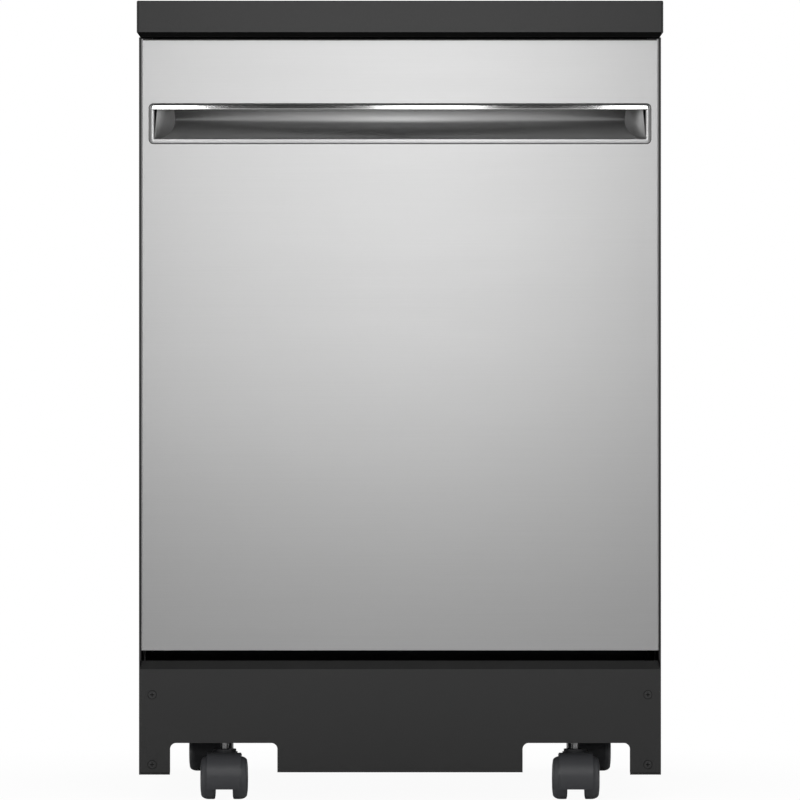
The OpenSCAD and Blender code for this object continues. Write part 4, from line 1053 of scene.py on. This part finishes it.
@dataclass
class HandleTrim(Assembly):
    """Trim round the finger pocket: a satin ring, a polished bar along its top and a dark line of
    painted shade round the ring.

    Attributes:
        side_w: Width of the ring's sides in millimetres.
        bar_h: Height of the bar.
        bar_steps: Steps along the bar.
        bend_steps: Steps of its rounding.
        corner_r: Radius of the ring's outer corners.
        proud: How far the ring stands out of the door.
        bar_proud: How far the bar stands out.
        bar_round: Height of the rounding along the bar's top.
        bar_end: Length over which the bar's ends are pillowed.
        shade_line_w: Width of the dark line of painted shade that shows round the ring.
        low: Lowest corner of the ring, read from the CAD.
        high: Its highest corner.
        face: Where the door's face lies along Y.
    """

    title: str = "handle trim"
    side_w: float = 6.0
    bar_h: float = 6.7
    bar_steps: int = 260
    bend_steps: int = 12
    corner_r: float = 5.0
    proud: float = 1.4
    bar_proud: float = 3.7
    bar_round: float = 2.6
    bar_end: float = 3.0
    shade_line_w: float = 0.8
    low: Vector = field(default_factory=Vector)
    high: Vector = field(default_factory=Vector)
    face: float = 0.0

    def build(self) -> list[bpy.types.Object]:
        """Builds the ring, the bar and the dark line of painted shade round the ring."""
        self.low, self.high = span("handle_trim")
        self.face = span("door_panel")[0].y
        ring = self.build_ring()
        bar = self.build_bar()
        shade_line = self.build_shade_line()
        self.mount(ring, "door", "trim", "handle_trim")
        self.mount(bar, "door", "trim", "handle_trim")
        self.mount(shade_line, "door", "seal_rubber")
        return [ring, bar, shade_line]

    def loop(self, inset: float, out: float, steps: int = 8) -> list[tuple[float, float, float]]:
        """The ring's outline drawn in by some distance.

        Args:
            inset: Distance from the outer outline; below 0 lies outside it.
            out: Distance in front of the door's face.
            steps: Steps of each corner.

        Returns:
            The loop's points.
        """
        radius = max(self.corner_r - inset, 0.7)
        x0, x1 = self.low.x + inset, self.high.x - inset
        z0, z1 = self.low.z + inset, self.high.z - inset
        points = []
        for cx, cz, start in ((x1 - radius, z1 - radius, 0.0), (x0 + radius, z1 - radius, 90.0),
                              (x0 + radius, z0 + radius, 180.0), (x1 - radius, z0 + radius, 270.0)):
            for step in range(steps + 1):
                angle = math.radians(start + 90.0 * step / steps)
                points.append((cx + radius * math.cos(angle), self.face - out,
                               cz + radius * math.sin(angle)))
        return points

    def sweep(self, name: str, profile: Sequence[tuple[float, float]],
              finish: Finish) -> bpy.types.Object:
        """Skins the loops of a profile.

        Args:
            name: The piece's name.
            profile: Pairs of inset and out, as loop takes them.
            finish: Its finish.

        Returns:
            The new object.
        """
        loops = [self.loop(inset, out) for inset, out in profile]
        count = len(loops[0])
        verts = [p for loop in loops for p in loop]
        faces = []
        for row in range(len(loops) - 1):
            for index in range(count):
                other = (index + 1) % count
                faces.append((row * count + index, row * count + other,
                              (row + 1) * count + other, (row + 1) * count + index))
        return add_mesh(name, verts, faces, finish, 40.0)

    def build_ring(self) -> bpy.types.Object:
        """The flat ring, with a rolled outer edge and a rounded inner one."""
        w, out = self.side_w, self.proud
        return self.sweep("handle_ring", (
            (0.0, -0.2), (0.0, out * 0.45), (0.25, out * 0.8), (0.7, out), (w - 1.6, out),
            (w - 1.0, out - 0.15), (w - 0.4, out - 0.5), (w - 0.05, out - 1.1), (w, out - 2.6),
            (w - 0.6, out - 2.6)), TRIM_SATIN)

    def build_bar(self) -> bpy.types.Object:
        """The bar, flat in front, rounded over along its top and pillowed at its ends."""
        along, bend = self.bar_steps, self.bend_steps
        x0, x1 = self.low.x, self.high.x
        height, foot = self.bar_h - 0.15, self.proud * 0.4
        full = self.bar_proud - foot
        profile = [(0.0, 0.0), (0.1, full - 0.35), (0.3, full - 0.05), (0.6, full)]
        for step in range(bend + 1):
            tilt = math.radians(90 * step / bend)
            profile.append((height - self.bar_round * (1 - math.sin(tilt)),
                            full * (1 - 0.02 * step / bend) * math.cos(tilt)
                            if step else full - 0.02))
        verts, faces = [], []
        for i in range(along + 1):
            x = x0 + (x1 - x0) * (0.5 - 0.5 * math.cos(math.pi * i / along))
            into = min(x - x0, x1 - x)
            drop = 0.0
            if into < self.corner_r:
                drop = self.corner_r - math.sqrt(
                    max(self.corner_r ** 2 - (self.corner_r - into) ** 2, 0.0))
            share = min(into / self.bar_end, 1.0)
            pillow = math.sqrt(share * (2 - share))
            for up, out in profile:
                verts.append((x, self.face - foot - out * pillow,
                              self.high.z - self.bar_h + up * (1 - drop / height)))
        count = len(profile)
        for i in range(along):
            for j in range(count - 1):
                here = i * count + j
                faces.append((here, here + count, here + count + 1, here + 1))
        return add_mesh("handle_bar", verts, faces, TRIM_CHROME, 80.0)

    def build_shade_line(self) -> bpy.types.Object:
        """The thin dark line of painted shade round the ring."""
        w = self.shade_line_w
        return self.sweep("handle_shade_line", ((-w, -0.2), (-w * 0.8, 0.25), (-0.1, 0.3), (0.1, -0.2)),
                          PAINTED_SHADE_LINE)


@dataclass
class FingerPocket(Assembly):
    """Satin trough behind the handle's mouth, hollowed by one long curve.

    Attributes:
        side_w: Width of the trim ring's sides in millimetres.
        slant: How far the ends run in towards the back.
        belly: Height of the deepest line above the trough's lowest one.
        crown_r: Radius of the curve above the deepest line.
        steps: Steps of the curve below it.
        sheet: Thickness of its steel.
    """

    title: str = "finger pocket"
    side_w: float = 6.0
    slant: float = 23.0
    belly: float = 23.0
    crown_r: float = 36.0
    steps: int = 22
    sheet: float = 0.8

    def build(self) -> list[bpy.types.Object]:
        """Builds the trough and its end walls, which take a darker copy of the pocket steel as
        painted shade.
        """
        low, high = span("handle_pocket")
        ring_low, ring_high = span("handle_trim")
        front, back = low.y + 0.1, high.y - 1.5
        half = ring_high.x - self.side_w
        floor, roof = ring_low.z + self.side_w - 0.3, high.z - 1.7
        profile = [(front, floor)]
        for step in range(1, self.steps + 1):
            tilt = math.radians(90 * step / self.steps)
            profile.append((front + (back - front) * math.sin(tilt),
                            floor + self.belly * (1 - math.cos(tilt))))
        rise = roof - floor - self.belly
        for step in range(1, 7):
            up = rise * step / 6
            profile.append((back - self.crown_r + math.sqrt(self.crown_r ** 2 - up ** 2),
                            floor + self.belly + up))
        profile += [(front + 4.0, roof), (front + 4.0, ring_high.z - 5.0)]
        verts, faces = [], []
        for y, z in profile:
            reach = half - self.slant * (y - front) / (back - front)
            verts += [(-reach, y, z), (reach, y, z)]
        for row in range(len(profile) - 1):
            faces.append((2 * row, 2 * row + 1, 2 * row + 3, 2 * row + 2))
        trough = add_mesh("pocket_trough", verts, faces, POCKET_STEEL, 40.0)
        rows = range(len(profile))
        ends = add_mesh("pocket_ends", verts, [tuple(2 * r for r in rows),
                                               tuple(2 * r + 1 for r in reversed(rows))],
                        POCKET_END_SHADED)
        part = join("pocket_shell", [trough, ends])
        shell = part.modifiers.new("sheet", "SOLIDIFY")
        shell.thickness = self.sheet * MM
        shell.offset = -1.0
        return [self.mount(part, "door", "pocket_steel", "handle_pocket")]


@dataclass
class Door(Assembly):
    """Steel door with its handle, controls, inner door and fittings.

    Attributes:
        top_bend: Radius of the bend along the steel's upper edge in millimetres.
        shade_strip_h: Height of the dark strip of painted shade above it.
        spring_turns: Turns of each hinge spring.
        spring_wire: Radius of its wire.
        spring_w: Width of a wound spring.
        coil_steps: Steps of each turn.
    """

    title: str = "door"
    nodes: tuple[str, ...] = (
        "door_panel", "door_liner", "control_console", "control_board", "indicator_lens",
        "latch_housing", "dispenser_body", "door_vent", "hinge_arms", "latch_hook",
        "detergent_cover", "rinse_aid_cap", "start_button", "cycle_button", "sanitize_button",
        "heated_dry_button")
    top_bend: float = 3.6
    shade_strip_h: float = 1.7
    spring_turns: int = 6
    spring_wire: float = 1.3
    spring_w: float = 18.5
    coil_steps: int = 24

    def build(self) -> list[bpy.types.Object]:
        """Bends the steel's upper edge, lays a dark strip of painted shade along its top and winds
        the springs.
        """
        self.bend_top_edge()
        return [self.build_top_shade_strip(), self.build_springs()]

    def build_top_shade_strip(self) -> bpy.types.Object:
        """A dark strip of painted shade along the top of the steel, under the worktop's edge."""
        low, high = span("door_panel")
        strip = add_block("door_top_shade_strip", (low.x + 2, low.y - 0.15, high.z - self.shade_strip_h),
                          (high.x - 2, low.y + 4, high.z + 0.1), DOOR_TOP_SHADE)
        soften(strip, 0.3 * MM)
        return self.mount(strip, "door", "seal_rubber")

    def bend_top_edge(self) -> None:
        """Rounds the front edge along the top of the steel with a weighted bevel."""
        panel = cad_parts["door_panel"]
        low, high = span("door_panel")
        mesh = panel.data
        weights = mesh.attributes.new("bevel_weight_edge", "FLOAT", "EDGE")
        for edge in mesh.edges:
            ends = [panel.matrix_world @ mesh.vertices[v].co / MM for v in edge.vertices]
            if all(e.z > high.z - 0.05 and e.y < low.y + 0.05 for e in ends):
                weights.data[edge.index].value = 1.0
        bend = panel.modifiers.new("top_bend", "BEVEL")
        bend.limit_method = "WEIGHT"
        bend.width = self.top_bend * MM
        bend.segments = 6
        bend.use_clamp_overlap = False
        panel.modifiers.move(len(panel.modifiers) - 1, 0)

    def build_springs(self) -> bpy.types.Object:
        """Two wound springs on the hinge pins, each with a leg up the inner door."""
        low, high = span("hinge_springs")
        radius = (high.y - low.y) / 2 - self.spring_wire
        middle = low.y + radius + self.spring_wire
        axis = low.z + radius + self.spring_wire
        wires = WireWork(8)
        for side in (-1, 1):
            outer = high.x - 0.7 - self.spring_wire
            length = self.spring_w - 2 * self.spring_wire
            points = [Vector((side * outer, middle - radius, high.z - 1)),
                      Vector((side * outer, middle - radius, axis + 4))]
            steps = self.spring_turns * self.coil_steps
            for step in range(steps + 1):
                turn = 2 * math.pi * step / self.coil_steps
                points.append(Vector((side * (outer - length * step / steps),
                                      middle - radius * math.cos(turn),
                                      axis - radius * math.sin(turn))))
            wires.run(points, self.spring_wire)
        return self.mount(wires.finish("hinge_coils", ZINC), "door", "zinc_steel",
                          "hinge_springs")


@dataclass
class Rack(Assembly):
    """Basket of round nylon-coated wires with rows of tines.

    Attributes:
        node: The CAD node that it stands for, which is also its body.
        half: Half width of the basket in millimetres.
        low: Corner of the basket at its front and floor, as (front, floor).
        high: Corner at its back and rim, as (back, rim).
        wire: Diameter of the wires.
        rows: Place of each tine row across the basket.
        tine_h: Height of the tines above the floor.
        tine_end: From the side wires to the first and last tine.
        tine_gaps: Gaps between the tines of a row.
        bend: Radius of the bends in the wires.
        across: Gaps between the wires that run from front to back.
        along: Gaps between the wires that run from side to side.
    """

    title: str = "rack"
    node: str = "upper_rack"
    half: float = 250.0
    low: tuple[float, float] = (-232.0, 575.0)
    high: tuple[float, float] = (220.8, 690.0)
    wire: float = 3.2
    rows: tuple[float, ...] = (-155.0, -60.0, 60.0, 155.0)
    tine_h: float = 59.7
    tine_end: float = 24.2
    tine_gaps: int = 12
    bend: float = 7.0
    across: int = 16
    along: int = 14

    def build(self) -> list[bpy.types.Object]:
        """Builds the basket and its fittings as one piece each."""
        wires = WireWork(8)
        self.add_basket(wires)
        for row in self.rows:
            self.add_tines(wires, row)
        basket = wires.finish(f"{self.node}_wires", NYLON_WIRE)
        return [self.mount(part, self.node, slot, self.node)
                for part, slot in ((basket, "nylon_wire"), *self.fittings())]

    def fittings(self) -> list[tuple[bpy.types.Object, str]]:
        """Pieces that the basket runs on, each with its slot."""
        return []

    def add_basket(self, wires: WireWork) -> None:
        """Adds the rim, the rails of the walls and the wires bent up from the floor.

        Args:
            wires: Where the wires are gathered.
        """
        r = self.wire / 2
        x, front, back = self.half - r, self.low[0] + r, self.high[0] - r
        floor, rim = self.low[1] + r, self.high[1] - r
        for share, thick in ((1.0, r), (0.66, r * 0.9), (0.33, r * 0.9)):
            z = floor + (rim - floor) * share
            wires.run(rounded_path([(-x, front, z), (x, front, z), (x, back, z), (-x, back, z)],
                                   self.bend, closed=True), thick, closed=True)
        for index in range(1, self.across):
            at = -x + 2 * x * index / self.across
            wires.run(rounded_path([(at, front, rim), (at, front, floor), (at, back, floor),
                                    (at, back, rim)], self.bend), r * 0.9)
        for index in range(1, self.along):
            at = front + (back - front) * index / self.along
            wires.run(rounded_path([(-x, at, rim), (-x, at, floor + r), (x, at, floor + r),
                                    (x, at, rim)], self.bend), r * 0.9)

    def add_tines(self, wires: WireWork, row: float) -> None:
        """Adds one row of tines on its base wire.

        Args:
            wires: Where the wires are gathered.
            row: The row's place across the basket in millimetres.
        """
        r = self.wire / 2
        front, back = self.low[0] + self.wire, self.high[0] - self.wire
        base = self.low[1] + self.wire + r
        wires.run([(row, front, base), (row, back, base)], r)
        top = base + self.tine_h - r
        for index in range(self.tine_gaps + 1):
            at = front + self.tine_end + (back - front - 2 * self.tine_end) * index / self.tine_gaps
            wires.run([(row, at, base), (row, at, top - r)], r * 0.95)
            wires.dome((row, at, top - r), r)


@dataclass
class UpperRack(Rack):
    """The upper rack, on two slides, with the feed of the middle spray arm.

    Attributes:
        rail_gap: Gap between a slide and the rail's lips in millimetres.
        slide_w: Width of a slide's channel.
        slide_t: Thickness of its sheet.
        bracket_h: Height of the brackets that hold the basket on it.
        roller: Outline of a roller as pairs of radius and width.
        pipe_r: Radius of the feed pipe.
        pipe_drop: How far the pipe lies under the basket's floor.
    """

    title: str = "upper rack"
    rail_gap: float = 2.0
    slide_w: float = 6.0
    slide_t: float = 1.6
    bracket_h: float = 16.0
    roller: tuple[tuple[float, float], ...] = (
        (0.1, -2.6), (6.6, -2.6), (7.4, -1.8), (7.4, 1.8), (6.6, 2.6), (0.1, 2.6))
    pipe_r: float = 8.0
    pipe_drop: float = 12.0

    def fittings(self) -> list[tuple[bpy.types.Object, str]]:
        """Slides with their brackets, and the feed pipe."""
        slides = [part for side in (-1, 1) for part in self.build_slide(side)]
        return [(join(f"{self.node}_slides", slides), "zinc_steel"),
                (self.build_feed(), "grey_plastic")]

    def build_slide(self, side: int) -> list[bpy.types.Object]:
        """One slide's channel with its brackets and rollers.

        Args:
            side: -1 for the left, 1 for the right.

        Returns:
            Its pieces.
        """
        rail_low, rail_high = span("upper_rack_rails")
        bottom, top = rail_low.z + self.rail_gap, rail_high.z - self.rail_gap
        middle = (bottom + top) / 2
        outer = span(self.node)[1].x * side
        inner = outer - self.slide_w * side
        x0, x1 = sorted((outer, inner))
        start, end = self.low[0] + 3, self.high[0] - 2
        rib = (x1 - self.slide_t, x1) if side < 0 else (x0, x0 + self.slide_t)
        parts = [add_block("slide_web", (rib[0], start, bottom), (rib[1], end, top), ZINC)]
        for z in (bottom, top - self.slide_t):
            parts.append(add_block("slide_lip", (x0, start, z), (x1, end, z + self.slide_t), ZINC))
        for y in (self.low[0] + 40, self.high[0] - 60):
            near, far = sorted((side * (self.half - 1), side * (abs(inner) + 1)))
            parts.append(add_block("bracket", (near, y, middle - self.bracket_h / 2),
                                   (far, y + 20, middle + self.bracket_h / 2), ZINC))
        for y in (start + 12, (start + end) / 2, end - 12):
            turn = (Matrix.Translation(((outer + inner) / 2, y, middle))
                    @ Matrix.Rotation(math.radians(90), 4, "Y"))
            parts.append(lathe("roller", self.roller, WHITE_PLASTIC, 24, turn))
        return parts

    def build_feed(self) -> bpy.types.Object:
        """The pipe from the back of the tub to the middle spray arm, with its hub."""
        back = span(self.node)[1].y
        arm_top = span("middle_spray_arm")[1].z + 0.5
        pipe_z, hub_top = self.low[1] - self.pipe_drop, self.low[1] - 0.5
        feed = WireWork(20)
        feed.run(rounded_path([(0, back, pipe_z), (0, 0, pipe_z), (0, 0, arm_top)], 9.0),
                 self.pipe_r)
        hub = lathe("feed_hub", [(9.0, arm_top), (13.0, arm_top), (14.0, arm_top + 1),
                                 (14.0, hub_top - 2.5), (12.0, hub_top), (0.1, hub_top),
                                 (0.1, arm_top)], GREY_PLASTIC, 48)
        return join(f"{self.node}_feed", [feed.finish("feed", GREY_PLASTIC), hub])


@dataclass
class LowerRack(Rack):
    """The lower rack, on four wheels at each side.

    Attributes:
        wheel_r: Radius of a wheel in millimetres.
        wheel_w: Its width.
        wheels: Number of wheels at each side.
        wheel_start: From the basket's front to the first wheel's axis.
        wheel_end: From the last wheel's axis to the basket's back.
    """

    title: str = "lower rack"
    node: str = "lower_rack"
    low: tuple[float, float] = (-241.0, 262.0)
    high: tuple[float, float] = (223.8, 392.0)
    rows: tuple[float, ...] = (-160.0, -75.0, 10.0, 95.0)
    tine_h: float = 67.9
    wheel_r: float = 17.0
    wheel_w: float = 10.0
    wheels: int = 4
    wheel_start: float = 112.0
    wheel_end: float = 24.0

    def fittings(self) -> list[tuple[bpy.types.Object, str]]:
        """The wheels on their brackets and runners."""
        axis = span(self.node)[0].z + self.wheel_r
        first = self.low[0] + self.wheel_start
        reach = self.high[0] - self.wheel_end - first
        parts = []
        for side in (-1, 1):
            inner, outer = sorted((side * (self.half - 5), side * (self.half + 0.7)))
            parts.append(add_block("runner", (inner, first - 4, self.low[1] - 5),
                                   (outer, first + reach + 4, self.low[1]), GREY_PLASTIC))
            for index in range(self.wheels):
                y = first + reach * index / (self.wheels - 1)
                parts.append(add_block("bracket", (inner, y - 4, axis - 4),
                                       (outer, y + 4, self.low[1]), GREY_PLASTIC))
                turn = (Matrix.Translation((side * (self.half + 1), y, axis))
                        @ Matrix.Rotation(math.radians(90 * side), 4, "Y"))
                parts.append(lathe("wheel", self.wheel_outline(), GREY_PLASTIC, 40, turn))
        return [(join(f"{self.node}_wheels", parts), "grey_plastic")]

    def wheel_outline(self) -> list[tuple[float, float]]:
        """A wheel's rounded tread, dished side and hub as pairs of radius and width."""
        radius, wide, edge = self.wheel_r, self.wheel_w, 1.4
        return [(0.1, 0.0), (radius - edge, 0.0), (radius, edge), (radius, wide - edge),
                (radius - edge, wide), (radius - 3.0, wide), (radius - 4.0, wide - edge),
                (6.0, wide - edge), (5.4, wide), (2.0, wide), (2.0, wide - 4.0),
                (0.1, wide - 4.0)]


@dataclass
class Interior(Assembly):
    """Cutlery basket and spray arms."""

    title: str = "interior"
    nodes: tuple[str, ...] = ("cutlery_basket", "lower_spray_arm", "middle_spray_arm")


# ---- Studio ----


@dataclass(frozen=True)
class Softbox:
    """A rectangular lamp that points at a spot.

    Attributes:
        name: The lamp's name.
        place: Where it hangs, in metres.
        aim: What it points at.
        size: Width and height in metres.
        power: Watts.
    """

    name: str
    place: tuple[float, float, float]
    aim: tuple[float, float, float]
    size: tuple[float, float]
    power: float

    def build(self) -> bpy.types.Object:
        """Hangs the lamp, unseen by the camera."""
        data = bpy.data.lights.new(self.name, "AREA")
        data.shape = "RECTANGLE"
        data.size, data.size_y = self.size
        data.energy = self.power
        lamp = bpy.data.objects.new(self.name, data)
        lamp.location = self.place
        towards = Vector(self.aim) - Vector(self.place)
        lamp.rotation_euler = towards.to_track_quat("-Z", "Y").to_euler()
        lamp.visible_camera = False
        bpy.context.scene.collection.objects.link(lamp)
        LOG.info("  lamp %s of %.0f W", self.name, self.power)
        return lamp


@dataclass
class Studio:
    """White room, pale floor, lamps and the camera of the photograph.

    Attributes:
        distance: From the camera to the middle of the part along Y, in metres.
        height: Height of the camera.
        lens: Focal length in millimetres on a sensor 36 mm wide.
        room_front: Brightness of the room in front of the part.
        room_side: Brightness of the room at its sides.
        paper: Reflectance of the floor.
        floor_lift: Share of white that the camera sees in it, near the part and far off.
        floor_fade: Distances in metres between which that share changes.
        lamps: The softboxes.
    """

    distance: float = 7.024
    height: float = 0.4645
    lens: float = 260.4
    room_front: float = 0.051
    room_side: float = 0.6
    paper: float = 0.9
    floor_lift: tuple[float, float] = (0.95, 1.0)
    floor_fade: tuple[float, float] = (0.35, 0.8)
    lamps: tuple[Softbox, ...] = (
        Softbox("strip_left", (-0.311, -1.51, 1.0), (-0.311, -0.3, 0.8), (0.062, 1.2), 1.98),
        Softbox("strip_middle", (0.041, -1.51, 1.0), (0.041, -0.3, 0.8), (0.137, 1.2), 2.47),
        Softbox("strip_right", (0.313, -1.51, 1.0), (0.313, -0.3, 0.8), (0.052, 1.2), 1.27),
    )

    def build(self) -> None:
        """Builds the room, lamps and camera."""
        for lamp in self.lamps:
            lamp.build()
        self.build_world()
        self.build_floor()
        self.build_camera()

    def build_world(self) -> None:
        """Pure white to the camera, a soft gradient to all other rays."""
        world = bpy.data.worlds.new("studio")
        bpy.context.scene.world = world
        world.use_nodes = True
        build = GraphBuilder(world.node_tree)
        seen = world.node_tree.nodes["Background"]
        seen.inputs["Color"].default_value = (1, 1, 1, 1)
        place = build.node("ShaderNodeTexCoord")
        axes = build.node("ShaderNodeSeparateXYZ")
        build.link(place.outputs["Generated"], axes.inputs[0])
        aside = build.math("ABSOLUTE", axes.outputs["X"])
        room = build.spread(aside, self.room_front, self.room_side, 0.3, 0.9)
        height = build.spread(axes.outputs["Z"], 0.75, 1.15, -0.6, 0.8)
        behind = build.spread(build.math("MULTIPLY", room, height), 0.0, 1.0, 0.0, 1.0)
        wall = build.spread(axes.outputs["Y"], behind, 1.0, -0.05, 0.3)
        soft = build.node("ShaderNodeBackground")
        build.link(wall, soft.inputs["Color"])
        rays = build.node("ShaderNodeLightPath")
        mix = build.node("ShaderNodeMixShader")
        build.link(rays.outputs["Is Camera Ray"], mix.inputs[0])
        build.link(soft.outputs[0], mix.inputs[1])
        build.link(seen.outputs[0], mix.inputs[2])
        build.link(mix.outputs[0], world.node_tree.nodes["World Output"].inputs["Surface"])

    def build_floor(self) -> None:
        """A wide pale floor, lifted to white but for the part's shadow."""
        mesh = bpy.data.meshes.new("studio_floor")
        side = 12.0
        mesh.from_pydata([(-side, -side, 0), (side, -side, 0), (side, side, 0),
                          (-side, side, 0)], [], [(0, 1, 2, 3)])
        floor = bpy.data.objects.new("studio_floor", mesh)
        bpy.context.scene.collection.objects.link(floor)
        paper = bpy.data.materials.new("studio_paper")
        paper.use_nodes = True
        build = GraphBuilder(paper.node_tree)
        shader = paper.node_tree.nodes["Principled BSDF"]
        shader.inputs["Base Color"].default_value = (self.paper, self.paper, self.paper, 1)
        shader.inputs["Roughness"].default_value = 0.9
        glow = build.node("ShaderNodeEmission")
        glow.inputs["Strength"].default_value = 1.0
        rays = build.node("ShaderNodeLightPath")
        mix = build.node("ShaderNodeMixShader")
        place = build.node("ShaderNodeTexCoord")
        away = build.node("ShaderNodeVectorMath", operation="LENGTH")
        build.link(place.outputs["Object"], away.inputs[0])
        fade = build.spread(away.outputs["Value"], *self.floor_lift, *self.floor_fade)
        share = build.math("MULTIPLY", rays.outputs["Is Camera Ray"], fade)
        build.link(share, mix.inputs[0])
        build.link(shader.outputs[0], mix.inputs[1])
        build.link(glow.outputs[0], mix.inputs[2])
        build.link(mix.outputs[0], paper.node_tree.nodes["Material Output"].inputs["Surface"])
        mesh.materials.append(paper)

    def build_camera(self) -> None:
        """The level camera in front of the door."""
        data = bpy.data.cameras.new("photo_camera")
        data.lens = self.lens
        data.sensor_width = 36.0
        data.clip_start, data.clip_end = 0.1, 60.0
        camera = bpy.data.objects.new("photo_camera", data)
        camera.location = (0.0, -self.distance, self.height)
        camera.rotation_euler = (math.radians(90), 0.0, 0.0)
        bpy.context.scene.collection.objects.link(camera)
        bpy.context.scene.camera = camera
        bpy.context.scene.view_settings.view_transform = "Standard"


def main() -> None:
    """Dresses every sub-assembly and sets the studio."""
    logging.basicConfig(level=logging.INFO, format="%(name)s: %(message)s")
    for assembly in (Cabinet(), Undercarriage(), Door(), HandleTrim(), FingerPocket(),
                     Interior(), UpperRack(), LowerRack()):
        assembly.make()
    Studio().build()


if __name__ == "__main__":
    main()
